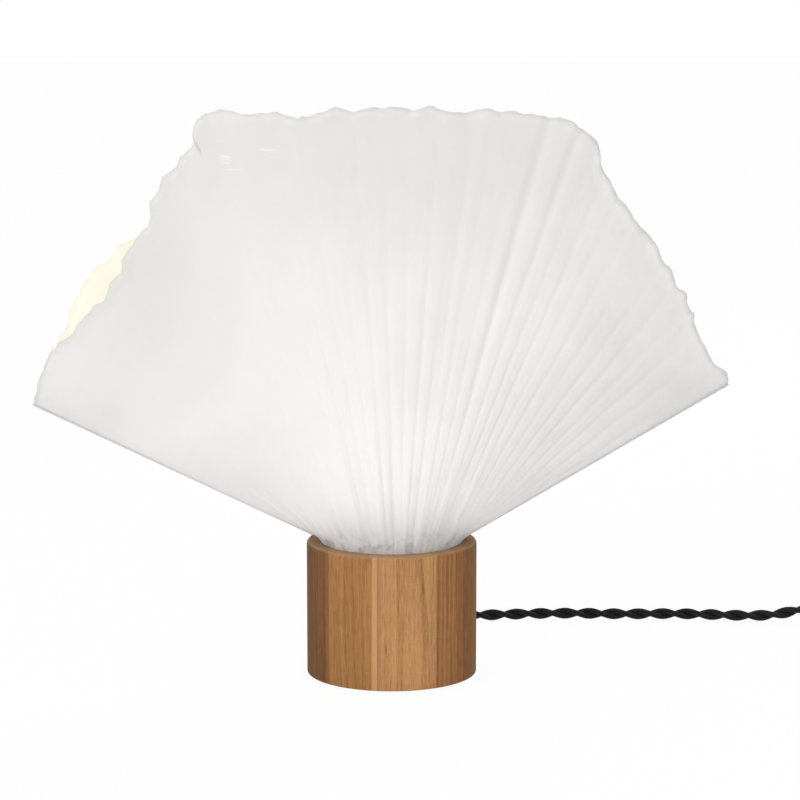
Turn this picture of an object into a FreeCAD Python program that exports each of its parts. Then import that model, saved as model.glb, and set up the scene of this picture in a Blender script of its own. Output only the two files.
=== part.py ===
import FreeCAD, Part
import Sketcher
import math
import os
import re

# Pleated paper table lamp.
# Millimetres, +Z up. The origin is the centre of the foot's underside, on the axis of the round base.
# The front of the shade faces -Y and the cord leaves the back of the base along +Y.

Vector = FreeCAD.Vector
doc = FreeCAD.newDocument("paper_lamp")
sheet = doc.addObject("Spreadsheet::Sheet", "sizes")

driving = {
    # turned wooden base
    "base_wide": 100.0,
    "base_tall": 79.4,
    "foot_gap": 1.0,
    "rim_round": 2.0,
    "foot_round": 1.0,
    "mouth_round": 0.8,
    "mouth_wall": 8.5,
    "mouth_deep": 20.4,
    "bore_wall": 11.0,
    "web_low": 22.0,
    "web_thick": 6.0,
    "cavity_wall": 10.0,
    # bottom plate, its felt and its screws
    "plate_edge": 4.0,
    "plate_thick": 2.0,
    "plate_gap": 0.2,
    "felt_inset": 3.0,
    "felt_thick": 2.0,
    "plate_screws": 3,
    "screw_wide": 3.0,
    "screw_long": 12.0,
    "screw_head_wide": 6.0,
    "screw_gap": 0.1,
    # steel ballast
    "ballast_bore": 36.0,
    "ballast_side_gap": 1.0,
    "ballast_top_gap": 0.3,
    "ballast_slot": 18.0,
    # cord and its grip in the back of the base
    "cord_wide": 7.0,
    "cord_hole_high": 12.0,
    "grip_wide": 10.0,
    "grip_flange_wide": 14.0,
    "grip_flange_thick": 2.0,
    "grip_out_long": 22.0,
    "grip_in_long": 9.0,
    "grip_tip_wide": 8.8,
    "grip_root_wide": 12.0,
    "grip_nut_flats": 13.0,
    "grip_nut_thick": 4.0,
    "grip_nut_gap": 1.2,
    "thread_gap": 0.05,
    "cord_gap": 0.1,
    "lead_wide": 2.4,
    "lead_apart": 3.2,
    "lead_turn_drop": 1.5,
    # threaded tube that carries the lampholder
    "tube_wide": 10.0,
    "tube_bore": 7.6,
    "tube_below": 5.0,
    "tube_above": 4.0,
    "tube_hole_gap": 0.2,
    "washer_wide": 18.0,
    "washer_thick": 1.5,
    "tube_nut_flats": 14.0,
    "tube_nut_thick": 3.0,
    # lampholder
    "holder_wide": 39.0,
    "holder_neck_wide": 24.0,
    "holder_cap_tall": 18.0,
    "holder_shoulder": 7.0,
    "holder_wall": 2.0,
    "holder_floor": 3.0,
    "insert_gap": 0.2,
    "insert_deep": 6.0,
    "insert_flange": 1.5,
    "holder_shell_tall": 28.0,
    "holder_lip": 1.5,
    "contact_rise": 2.0,
    "contact_long": 13.0,
    "contact_wide": 5.0,
    "contact_thick": 0.5,
    "terminal_apart": 22.0,
    "terminal_wide": 3.0,
    "terminal_head_wide": 5.0,
    "terminal_head_tall": 1.6,
    # screw thread of bulb and lampholder
    "thread_wide": 26.4,
    "thread_deep": 0.9,
    "thread_pitch": 3.6,
    "thread_turns": 5,
    "thread_fit": 0.3,
    "thread_wall": 0.5,
    # bulb
    "bulb_contact_wide": 8.4,
    "bulb_contact_low_wide": 6.0,
    "bulb_contact_tall": 1.2,
    "bulb_glass_tall": 3.8,
    "bulb_glass_wide": 19.0,
    "bulb_collar_low_wide": 28.0,
    "bulb_foot_tall": 3.5,
    "bulb_collar_tall": 18.0,
    "bulb_wide": 45.0,
    "globe_drop": 10.0,
    "globe_wall": 1.0,
    "collar_wall": 1.5,
    "board_thick": 1.6,
    "board_gap": 0.2,
    "touch_gap": 0.3,
    # neck ring of the shade
    "seat_gap": 0.2,
    "ring_side": 7.5,
    "ring_wall": 1.5,
    "ring_tall": 18.0,
    "ring_flange_gap": 0.7,
    "ring_flange_thick": 1.5,
    # pleated paper
    "pleats": 38,
    "pleat_deep_neck": 4.0,
    "pleat_deep_rim": 3.0,
    "paper_neck_thick": 1.1,
    "paper_rim_thick": 0.6,
    "paper_low_gap": 0.5,
    "neck_gap": 0.7,
    "neck_rise": 0.8,
    "front_bulge": 62.0,
    "back_bulge": 56.0,
    "bulge_power": 0.8,
    "scallop": 2.5,
    "seam_gap": 0.4,
    "seam_wide": 9.0,
    "seam_thick": 0.6,
    "seam_drop": 0.8,
    "seam_start": 5.0,
    # in-line switch
    "switch_x": 325.0,
    "switch_y": 127.0,
    "switch_long": 60.0,
    "switch_wide": 26.0,
    "switch_tall": 17.0,
    "switch_wall": 2.0,
    "switch_corner": 6.0,
    "switch_edge": 2.0,
    "relief_long": 20.0,
    "relief_root_wide": 11.0,
    "relief_tip_wide": 8.6,
    "relief_in": 3.0,
    "slot_long": 25.4,
    "slot_wide": 12.4,
    "rocker_half_long": 11.0,
    "rocker_wide": 11.2,
    "rocker_end_rise": 5.5,
    "rocker_mid_rise": 4.0,
    "rocker_keel": 4.5,
    "rocker_taper": 0.85,
    "rocker_tilt": 12.0,
    "rocker_pin_wide": 2.5,
    "rocker_pin_long": 18.0,
    "rocker_pin_drop": 4.5,
    "rocker_pin_gap": 0.05,
    "lug_thick": 2.6,
    "lug_long": 7.0,
    "switch_screw_x": 20.0,
    "switch_screw_y": 7.6,
    "switch_boss_wide": 6.0,
    "switch_screw_wide": 2.5,
    "switch_screw_head": 4.6,
    "switch_screw_head_tall": 1.6,
    "switch_screw_long": 11.0,
    "switch_run_in": 15.0,
    "switch_rail_long": 8.8,
    "switch_post_tall": 3.0,
    # put-away coil and its tie
    "coil_x": 376.0,
    "coil_y": 52.0,
    "coil_mid_wide": 76.0,
    "coil_low_turns": 3,
    "coil_top_turns": 2,
    "coil_layer_rise": 6.06,
    "coil_run_in": 20.0,
    "coil_run_out": 4.0,
    "tie_wide": 6.0,
    "tie_thick": 1.0,
    "tie_gap": 0.3,
    # plug
    "plug_x": 338.0,
    "plug_y": -13.5,
    "plug_long": 35.0,
    "plug_face_wide": 35.0,
    "plug_face_tall": 13.7,
    "plug_neck_wide": 15.0,
    "plug_neck_tall": 12.0,
    "plug_relief_long": 22.0,
    "plug_run_in": 8.8,
    "plug_waist_share": 0.55,
    "plug_waist_narrowing": 0.94,
    "plug_bevel_share": 0.8,
    "plug_edge_share": 0.2,
    "pin_apart": 18.6,
    "pin_wide": 4.0,
    "pin_long": 19.0,
    "pin_sleeve_long": 10.0,
    "pin_core_wide": 2.6,
    "pin_sleeve_wide": 3.4,
    "pin_in": 8.0,
}
for row, (alias, number) in enumerate(driving.items(), start=1):
    sheet.set(f"A{row}", alias)
    sheet.set(f"B{row}", str(number))
    sheet.setAlias(f"B{row}", alias)
doc.recompute()


def rule(text):
    """A formula over the sheet's sizes."""
    return re.sub(r"[a-z][a-z_]*[a-z]", lambda word: named(word.group(0)), text)


def named(word):
    return "sizes." + word if word in driving else word


def size(text):
    """The number that a formula gives now."""
    found = sheet.evalExpression(rule(text))
    return float(getattr(found, "Value", found))


# heights of the seats in the base, as formulas
wood_top = "(foot_gap + base_tall)"
ledge = f"({wood_top} - mouth_deep)"
base_radius = "(base_wide / 2)"
mouth_radius = f"({base_radius} - mouth_wall)"
bore_radius = f"({base_radius} - bore_wall)"
cavity_radius = f"({base_radius} - cavity_wall)"
plate_radius = f"({base_radius} - plate_edge)"
screw_ring_radius = f"(({cavity_radius} + {plate_radius}) / 2)"
plate_top = "(felt_thick + plate_thick)"
web_top = "(web_low + web_thick)"
cap_top = f"({web_top} + holder_cap_tall)"
insert_top = f"({cap_top} + insert_flange)"
holder_top = f"({insert_top} + holder_shell_tall)"
contact_top = f"({insert_top} + contact_rise)"
bulb_low = f"({contact_top} + touch_gap)"
bulb_glass_low = f"({bulb_low} + bulb_contact_tall)"
bulb_cap_low = f"({bulb_glass_low} + bulb_glass_tall)"
bulb_cap_tall = "((thread_turns + 0.5) * thread_pitch)"
bulb_collar_low = f"({bulb_cap_low} + {bulb_cap_tall})"
globe_low = f"({bulb_collar_low} + bulb_collar_tall)"
globe_low_radius = "sqrt((bulb_wide / 2) ^ 2 - globe_drop ^ 2)"
globe_mid = f"({globe_low} + globe_drop)"
ring_low = f"({ledge} + seat_gap)"
ring_bore_radius = f"({bore_radius} - ring_side)"
ring_flange_radius = f"({mouth_radius} - ring_flange_gap)"
ring_radius = f"({ring_bore_radius} + ring_wall)"
cord_radius = "(cord_wide / 2)"
switch_mid = "(switch_tall / 2)"
plug_mid = "(plug_face_tall / 2)"
grip_tip = f"({base_radius} + grip_out_long)"
rocker_pin_high = "(switch_tall - rocker_pin_drop)"

sub_parts = []


def keep(thing, label):
    thing.Label = label
    sub_parts.append(thing)
    return thing


def place(thing, at, turn=None):
    """Bind a piece's place to the sheet; turn is an axis and an angle."""
    if turn is not None:
        thing.Placement = FreeCAD.Placement(Vector(0, 0, 0), FreeCAD.Rotation(Vector(*turn[0]), turn[1]))
    for letter, text in zip("xyz", at):
        thing.setExpression(f"Placement.Base.{letter}", rule(text))
    return thing


along_x = ((0, 1, 0), 90)
against_x = ((0, 1, 0), -90)
along_y = ((1, 0, 0), -90)
middle = ("0", "0", "0")


def solid(kind, name, sizes, at=middle, turn=None):
    thing = doc.addObject("Part::" + kind, name)
    for field, text in sizes.items():
        thing.setExpression(field, rule(text))
    return place(thing, at, turn)


def cylinder(name, radius, height, at=middle, turn=None):
    return solid("Cylinder", name, {"Radius": radius, "Height": height}, at, turn)


def cone(name, low_radius, top_radius, height, at=middle, turn=None):
    rules = {"Radius1": low_radius, "Radius2": top_radius, "Height": height}
    return solid("Cone", name, rules, at, turn)


def block(name, long, wide, tall, mid):
    """A box whose centre lies at mid."""
    corner = [f"({centre}) - ({side}) / 2" for centre, side in zip(mid, (long, wide, tall))]
    return solid("Box", name, {"Length": long, "Width": wide, "Height": tall}, corner)


def hexagon(name, flats, height, at=middle, turn=None):
    prism = solid("Prism", name, {"Circumradius": f"{flats} / sqrt(3)", "Height": height}, at, turn)
    prism.Polygon = 6
    return prism


def fuse(name, pieces):
    joined = doc.addObject("Part::MultiFuse", name)
    joined.Shapes = pieces
    return joined


def cut(name, base, tools):
    result = doc.addObject("Part::Cut", name)
    result.Base = base
    result.Tool = tools[0] if len(tools) == 1 else fuse(name + "_tools", tools)
    return result


def rounded(name, base, radius, chosen):
    """Round the edges of a piece that chosen accepts."""
    doc.recompute()
    result = doc.addObject("Part::Fillet", name)
    result.Base = base
    amount = size(radius)
    numbers = [number for number, edge in enumerate(base.Shape.Edges, 1) if chosen(edge)]
    result.Edges = [(number, amount, amount) for number in numbers]
    return result


def origin_plane(body, role):
    return next(plane for plane in body.Origin.OriginFeatures if plane.Role == role)


def profile_sketch(body, name, outline):
    """A closed outline of (radius, height) formulas; a third entry starts an arc about the axis."""
    sketch = body.newObject("Sketcher::SketchObject", name)
    sketch.AttachmentSupport = (origin_plane(body, "XZ_Plane"), [""])
    sketch.MapMode = "FlatFace"
    points = [Vector(size(corner[0]), size(corner[1]), 0) for corner in outline]
    ends = []
    for number, corner in enumerate(outline):
        here = points[number]
        after = points[(number + 1) % len(points)]
        if len(corner) == 2:
            sketch.addGeometry(Part.LineSegment(here, after), False)
            ends.append((1, 2))
            continue
        centre = Vector(0, size(corner[2]), 0)
        first = math.atan2(here.y - centre.y, here.x)
        last = math.atan2(after.y - centre.y, after.x)
        circle = Part.Circle(centre, Vector(0, 0, 1), (here - centre).Length)
        sketch.addGeometry(Part.ArcOfCircle(circle, min(first, last), max(first, last)), False)
        ends.append((1, 2) if last > first else (2, 1))
    for number, corner in enumerate(outline):
        after = (number + 1) % len(outline)
        joined = Sketcher.Constraint("Coincident", number, ends[number][1], after, ends[after][0])
        sketch.addConstraint(joined)
        if len(corner) == 3:
            sketch.addConstraint(Sketcher.Constraint("PointOnObject", number, 3, -2))
        for kind, text, value, axis in (
            ("DistanceX", corner[0], points[number].x, -2),
            ("DistanceY", corner[1], points[number].y, -1),
        ):
            if text == "0":
                sketch.addConstraint(Sketcher.Constraint("PointOnObject", number, ends[number][0], axis))
                continue
            added = sketch.addConstraint(Sketcher.Constraint(kind, -1, 1, number, ends[number][0], value))
            sketch.setExpression(f"Constraints[{added}]", rule(text))
    return sketch


def turned(name, outline, at=middle, turn=None):
    """A body of revolution about its own upright axis."""
    body = doc.addObject("PartDesign::Body", name)
    sketch = profile_sketch(body, name + "_profile", outline)
    revolution = body.newObject("PartDesign::Revolution", name + "_turned")
    revolution.Profile = sketch
    revolution.ReferenceAxis = (sketch, ["V_Axis"])
    revolution.Angle = 360
    doc.recompute()
    return place(body, at, turn)


def round_pocket(body, name, role, spots, depth, flipped=False):
    """Round holes from an origin plane: each spot is (across, up, radius) in formulas."""
    sketch = body.newObject("Sketcher::SketchObject", name + "_holes")
    sketch.AttachmentSupport = (origin_plane(body, role), [""])
    sketch.MapMode = "FlatFace"
    for number, (across, up, radius) in enumerate(spots):
        spot = Vector(size(across), size(up), 0)
        sketch.addGeometry(Part.Circle(spot, Vector(0, 0, 1), size(radius)), False)
        added = sketch.addConstraint(Sketcher.Constraint("Radius", number, size(radius)))
        sketch.setExpression(f"Constraints[{added}]", rule(radius))
        for kind, text, axis in (("DistanceX", across, -2), ("DistanceY", up, -1)):
            if text == "0":
                sketch.addConstraint(Sketcher.Constraint("PointOnObject", number, 3, axis))
                continue
            added = sketch.addConstraint(Sketcher.Constraint(kind, -1, 1, number, 3, size(text)))
            sketch.setExpression(f"Constraints[{added}]", rule(text))
    before = body.Shape.Volume
    pocket = body.newObject("PartDesign::Pocket", name)
    pocket.Profile = sketch
    pocket.Type = "Length"
    pocket.setExpression("Length", rule(depth))
    pocket.Reversed = flipped
    doc.recompute()
    if not body.Shape.Volume < before - 0.01:
        raise SystemExit(f"{name} cuts nothing")
    return pocket


def pattern(body, name, feature, times):
    """Repeat a feature round the body's upright axis."""
    polar = body.newObject("PartDesign::PolarPattern", name)
    polar.Originals = [feature]
    polar.Axis = (origin_axis(body, "Z_Axis"), [""])
    polar.Angle = 360
    polar.setExpression("Occurrences", rule(times))
    body.Tip = polar
    doc.recompute()
    return polar


def origin_axis(body, role):
    return next(axis for axis in body.Origin.OriginFeatures if axis.Role == role)


def round_edges(body, name, radius, chosen):
    """Fillet the body's edges that chosen accepts."""
    base = body.Tip
    fillet = body.newObject("PartDesign::Fillet", name)
    edges = [f"Edge{number}" for number, edge in enumerate(base.Shape.Edges, 1) if chosen(edge)]
    fillet.Base = (base, edges)
    fillet.setExpression("Radius", rule(radius))
    body.Tip = fillet
    doc.recompute()
    return fillet


def ring_edge(radius, height):
    """Chooses the round edges of one radius at one height."""
    def chosen(edge):
        if not isinstance(edge.Curve, Part.Circle):
            return False
        return abs(edge.Curve.Radius - radius) < 0.01 and abs(edge.Curve.Center.z - height) < 0.01
    return chosen


def around(count, radius, start):
    """Places round the axis, as pairs of formulas."""
    turns = [math.radians(start + 360 * number / count) for number in range(count)]
    return [(f"({radius}) * {math.cos(turn):.9f}", f"({radius}) * {math.sin(turn):.9f}") for turn in turns]


# ---- wooden base ----

def wooden_base():
    web_hole = "(tube_wide / 2 + tube_hole_gap)"
    recess = f"({plate_radius} + plate_gap)"
    body = turned("wooden_base", [
        (web_hole, "web_low"),
        (web_hole, web_top),
        (bore_radius, web_top),
        (bore_radius, ledge),
        (mouth_radius, ledge),
        (mouth_radius, wood_top),
        (base_radius, wood_top),
        (base_radius, "foot_gap"),
        (recess, "foot_gap"),
        (recess, plate_top),
        (cavity_radius, plate_top),
        (cavity_radius, "web_low"),
    ])
    round_edges(body, "rim_rounding", "rim_round", ring_edge(size(base_radius), size(wood_top)))
    round_edges(body, "foot_rounding", "foot_round", ring_edge(size(base_radius), size("foot_gap")))
    round_edges(body, "mouth_rounding", "mouth_round", ring_edge(size(mouth_radius), size(wood_top)))
    hole = "grip_wide / 2 + screw_gap"
    round_pocket(body, "cord_hole", "XZ_Plane", [("0", "cord_hole_high", hole)], "base_wide")
    spot = ("0", f"-{screw_ring_radius}", "screw_wide / 2 + screw_gap")
    depth = f"{plate_top} + screw_long"
    pilot = round_pocket(body, "pilot_hole", "XY_Plane", [spot], depth, True)
    pattern(body, "pilot_holes", pilot, "plate_screws")
    keep(body, "wooden_base")


def plate_and_screws():
    count = int(size("plate_screws"))
    spots = around(count, screw_ring_radius, -90)
    disc = cylinder("plate_disc", plate_radius, "plate_thick", ("0", "0", "felt_thick"))
    sinks = []
    screws = []
    for number, (across, up) in enumerate(spots, 1):
        low = (across, up, "felt_thick")
        hole_low = "screw_head_wide / 2 + screw_gap"
        hole_top = "screw_wide / 2 + screw_gap"
        sinks.append(cone(f"sink_{number}", hole_low, hole_top, "plate_thick", low))
        head = cone(f"screw_head_{number}", "screw_head_wide / 2", "screw_wide / 2", "plate_thick", low)
        shank = cylinder(f"screw_shank_{number}", "screw_wide / 2", "screw_long", low)
        screws.append(fuse(f"screw_{number}", [head, shank]))
    keep(cut("base_plate", disc, sinks), "base_plate")
    keep(fuse("plate_screws_group", screws), "plate_screws")
    keep(cylinder("felt_pad", f"{plate_radius} - felt_inset", "felt_thick"), "felt_pad")


def ballast():
    tall = f"web_low - {plate_top} - ballast_top_gap"
    radius = f"{cavity_radius} - ballast_side_gap"
    disc = cylinder("ballast_disc", radius, tall, ("0", "0", plate_top))
    bore = cylinder("ballast_bore_tool", "ballast_bore / 2", tall, ("0", "0", plate_top))
    mid = ("0", cavity_radius, f"{plate_top} + ({tall}) / 2")
    slot = block("ballast_slot_tool", "ballast_slot", f"2 * {cavity_radius}", tall, mid)
    keep(cut("ballast_ring", disc, [bore, slot]), "ballast_ring")


def cord_grip():
    bore = f"({cord_radius} + cord_gap)"
    inner = f"({cavity_radius} - grip_in_long)"
    flange = f"({base_radius} + grip_flange_thick)"
    grip = turned("cord_grip", [
        (bore, inner),
        ("grip_wide / 2", inner),
        ("grip_wide / 2", base_radius),
        ("grip_flange_wide / 2", base_radius),
        ("grip_flange_wide / 2", flange),
        ("grip_root_wide / 2", flange),
        ("grip_tip_wide / 2", grip_tip),
        (bore, grip_tip),
    ], ("0", "0", "cord_hole_high"), along_y)
    keep(grip, "cord_grip")
    nut_near = f"{cavity_radius} - grip_nut_gap - grip_nut_thick"
    at = ("0", nut_near, "cord_hole_high")
    nut = hexagon("grip_nut_blank", "grip_nut_flats", "grip_nut_thick", at, along_y)
    hole = cylinder("grip_nut_hole", "grip_wide / 2 + thread_gap", "grip_nut_thick", at, along_y)
    keep(cut("grip_nut", nut, [hole]), "grip_nut")
    inner_end = cylinder("cord_inner_end", cord_radius, f"{grip_tip} - {inner}",
                         ("0", inner, "cord_hole_high"), along_y)
    keep(inner_end, "cord_inner_end")


# ---- threaded tube and lampholder ----

def holder_tube():
    low = "(web_low - tube_below)"
    tube = turned("holder_tube", [
        ("tube_bore / 2", low),
        ("tube_wide / 2", low),
        ("tube_wide / 2", f"{web_top} + tube_above"),
        ("tube_bore / 2", f"{web_top} + tube_above"),
    ])
    keep(tube, "holder_tube")
    hole = "tube_wide / 2 + thread_gap"
    washer_low = "(web_low - washer_thick)"
    washer = turned("tube_washer", [
        (hole, washer_low),
        ("washer_wide / 2", washer_low),
        ("washer_wide / 2", "web_low"),
        (hole, "web_low"),
    ])
    keep(washer, "tube_washer")
    at = ("0", "0", f"{washer_low} - tube_nut_thick")
    nut = hexagon("tube_nut_blank", "tube_nut_flats", "tube_nut_thick", at)
    bore = cylinder("tube_nut_bore", hole, "tube_nut_thick", at)
    keep(cut("tube_nut", nut, [bore]), "tube_nut")


def lampholder():
    outer = "holder_wide / 2"
    inner = "(holder_wide / 2 - holder_wall)"
    hole = "tube_wide / 2 + thread_gap"
    shoulder = f"({web_top} + holder_shoulder)"
    cap = turned("holder_cap", [
        (hole, web_top),
        ("holder_neck_wide / 2", web_top),
        (outer, shoulder),
        (outer, cap_top),
        (inner, cap_top),
        (inner, shoulder),
        ("holder_neck_wide / 2 - holder_wall", f"{web_top} + holder_floor"),
        (hole, f"{web_top} + holder_floor"),
    ])
    keep(cap, "holder_cap")
    plug_low = ("0", "0", f"{cap_top} - insert_deep")
    disc = cylinder("insert_disc", f"{inner} - insert_gap", "insert_deep", plug_low)
    flange = cylinder("insert_flange_disc", outer, "insert_flange", ("0", "0", cap_top))
    tools = []
    screws = []
    for side in (-1, 1):
        across = f"{side} * terminal_apart / 2"
        head_low = f"{cap_top} - insert_deep - terminal_head_tall"
        shank = (across, "0", head_low)
        name = f"terminal_{'left' if side < 0 else 'right'}"
        hole = "terminal_wide / 2 + screw_gap"
        tools.append(cylinder(name + "_hole", hole, "insert_deep", shank))
        head = cylinder(name + "_head", "terminal_head_wide / 2", "terminal_head_tall", shank)
        stem = cylinder(name + "_stem", "terminal_wide / 2", "insert_deep", shank)
        screws.append(fuse(name, [head, stem]))
    keep(cut("holder_insert", fuse("insert_blank", [disc, flange]), tools), "holder_insert")
    keep(fuse("terminal_pair", screws), "terminal_screws")
    lip_top = f"({holder_top} + holder_lip)"
    mouth = "(thread_wide / 2 + thread_fit + thread_wall + insert_gap)"
    shell = turned("holder_shell", [
        (inner, insert_top),
        (outer, insert_top),
        (outer, holder_top),
        (f"{outer} - holder_wall / 2", lip_top),
        (mouth, lip_top),
        (mouth, f"{holder_top} - holder_wall"),
        (inner, f"{holder_top} - holder_wall"),
    ])
    keep(shell, "holder_shell")
    screw_shell()
    left = "-contact_long / 2"
    front = "-contact_wide / 2"
    foot_sizes = {"Length": "contact_long / 2", "Width": "contact_wide", "Height": "contact_thick"}
    foot = solid("Box", "contact_foot", foot_sizes, (left, front, insert_top))
    riser_sizes = {"Length": "contact_thick", "Width": "contact_wide", "Height": "contact_rise"}
    riser = solid("Box", "contact_riser", riser_sizes, ("-contact_thick", front, insert_top))
    tongue_long = "contact_long / 3 + contact_thick"
    tongue_sizes = {"Length": tongue_long, "Width": "contact_wide", "Height": "contact_thick"}
    tongue_low = ("-contact_thick", front, f"{contact_top} - contact_thick")
    tongue = solid("Box", "contact_tongue", tongue_sizes, tongue_low)
    keep(fuse("centre_contact", [foot, riser, tongue]), "centre_contact")


def thread_side(radius, low, deep):
    """The wave of a rolled thread, from low upward, as corners of an outline."""
    corners = []
    for turn in range(int(size("thread_turns"))):
        start = f"({low} + {turn} * thread_pitch)"
        corners.append((f"({radius} - {deep})", f"({start} + thread_pitch / 4)"))
        corners.append((f"{radius}", f"({start} + thread_pitch * 3 / 4)"))
    return corners


def screw_shell():
    crest = "(thread_wide / 2 + thread_fit)"
    outer = f"{crest} + thread_wall"
    low = insert_top
    inside = thread_side(crest, f"({bulb_cap_low})", "thread_deep")
    top = f"{bulb_cap_low} + {bulb_cap_tall} - thread_pitch / 4"
    foot = f"{insert_top} + contact_thick"
    hole = "sqrt((contact_long / 2) ^ 2 + (contact_wide / 2) ^ 2) + screw_gap"
    shell = turned("screw_shell", [
        (hole, low),
        (outer, low),
        (outer, top),
        (crest, top),
    ] + inside[::-1] + [
        (crest, foot),
        (hole, foot),
    ])
    keep(shell, "screw_shell")


# ---- bulb ----

def bulb():
    contact_radius = "bulb_contact_wide / 2"
    keep(turned("bulb_contact", [
        ("0", bulb_low),
        ("bulb_contact_low_wide / 2", bulb_low),
        (contact_radius, f"{bulb_low} + bulb_contact_tall / 2"),
        (contact_radius, bulb_glass_low),
        ("0", bulb_glass_low),
    ]), "bulb_contact")
    keep(turned("bulb_insulator", [
        ("0", bulb_glass_low),
        (f"{contact_radius} + thread_wall", bulb_glass_low),
        ("bulb_glass_wide / 2", f"{bulb_cap_low} - thread_wall"),
        ("bulb_glass_wide / 2", bulb_cap_low),
        ("0", bulb_cap_low),
    ]), "bulb_insulator")
    crest = "(thread_wide / 2)"
    inside = f"({crest} - thread_deep - thread_wall)"
    keep(turned("bulb_cap", [
        ("0", bulb_cap_low),
        ("bulb_glass_wide / 2", bulb_cap_low),
    ] + thread_side(crest, bulb_cap_low, "thread_deep") + [
        (f"{crest} - thread_deep", bulb_collar_low),
        (inside, bulb_collar_low),
        (inside, f"{bulb_cap_low} + thread_wall * 3"),
        ("0", f"{bulb_cap_low} + thread_wall * 3"),
    ]), "bulb_cap")
    low_radius = "bulb_collar_low_wide / 2"
    keep(turned("bulb_collar", [
        ("0", bulb_collar_low),
        (low_radius, bulb_collar_low),
        (low_radius, f"{bulb_collar_low} + bulb_foot_tall"),
        (globe_low_radius, globe_low),
        (f"{globe_low_radius} - collar_wall", globe_low),
        (f"{low_radius} - collar_wall", f"{bulb_collar_low} + bulb_foot_tall"),
        (f"{low_radius} - collar_wall", f"{bulb_collar_low} + collar_wall"),
        ("0", f"{bulb_collar_low} + collar_wall"),
    ]), "bulb_collar")
    board_radius = f"({globe_low_radius} - collar_wall * 2 - board_gap)"
    board_low = ("0", "0", f"{globe_low} - board_thick")
    keep(cylinder("led_board", board_radius, "board_thick", board_low), "led_board")
    inner_radius = "(bulb_wide / 2 - globe_wall)"
    keep(turned("bulb_globe", [
        (globe_low_radius, globe_low, globe_mid),
        ("0", f"{globe_mid} + bulb_wide / 2"),
        ("0", f"{globe_mid} + {inner_radius}", globe_mid),
        (f"sqrt({inner_radius} ^ 2 - globe_drop ^ 2)", globe_low),
    ]), "bulb_globe")


# ---- shade ----

# Rim of each panel seen from the front, as (x, z), from the left tip over the top to the right tip.
# It is a hand-torn edge, so its corners are chosen one by one.
front_rim = [
    (-209.5, 160.5), (-198.5, 188.0), (-181.5, 211.5), (-160.5, 236.0), (-137.0, 279.5),
    (-113.5, 314.0), (-108.0, 331.0), (-94.0, 336.5), (-30.0, 338.5), (52.0, 337.0),
    (94.0, 332.5), (110.0, 322.0), (140.0, 278.0), (169.0, 229.0), (185.5, 189.0), (196.5, 172.5),
]
back_rim = [
    (-209.5, 160.5), (-200.0, 187.5), (-187.0, 207.0), (-182.0, 220.0), (-171.0, 234.0), (-152.0, 250.0),
    (-127.0, 281.0), (-107.0, 309.0), (-96.0, 320.0), (-40.0, 324.5), (40.0, 325.0),
    (90.0, 319.0), (112.0, 303.0), (140.0, 264.0), (166.0, 220.0), (184.0, 187.0), (196.5, 172.5),
]


def rim_point(rim, share, bulge):
    """The point a share of the way along a rim, bulged away from the seams."""
    lengths = [math.dist(a, b) for a, b in zip(rim, rim[1:])]
    left = share * sum(lengths)
    number = 0
    while number < len(lengths) - 1 and left > lengths[number]:
        left -= lengths[number]
        number += 1
    part_way = left / lengths[number]
    across = rim[number][0] + part_way * (rim[number + 1][0] - rim[number][0])
    up = rim[number][1] + part_way * (rim[number + 1][1] - rim[number][1])
    out = bulge * max(math.sin(math.pi * share), 0.0) ** size("bulge_power")
    return Vector(across, out, up)


def triangle(a, b, c):
    return Part.Face(Part.makePolygon([a, b, c, a]))


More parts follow.
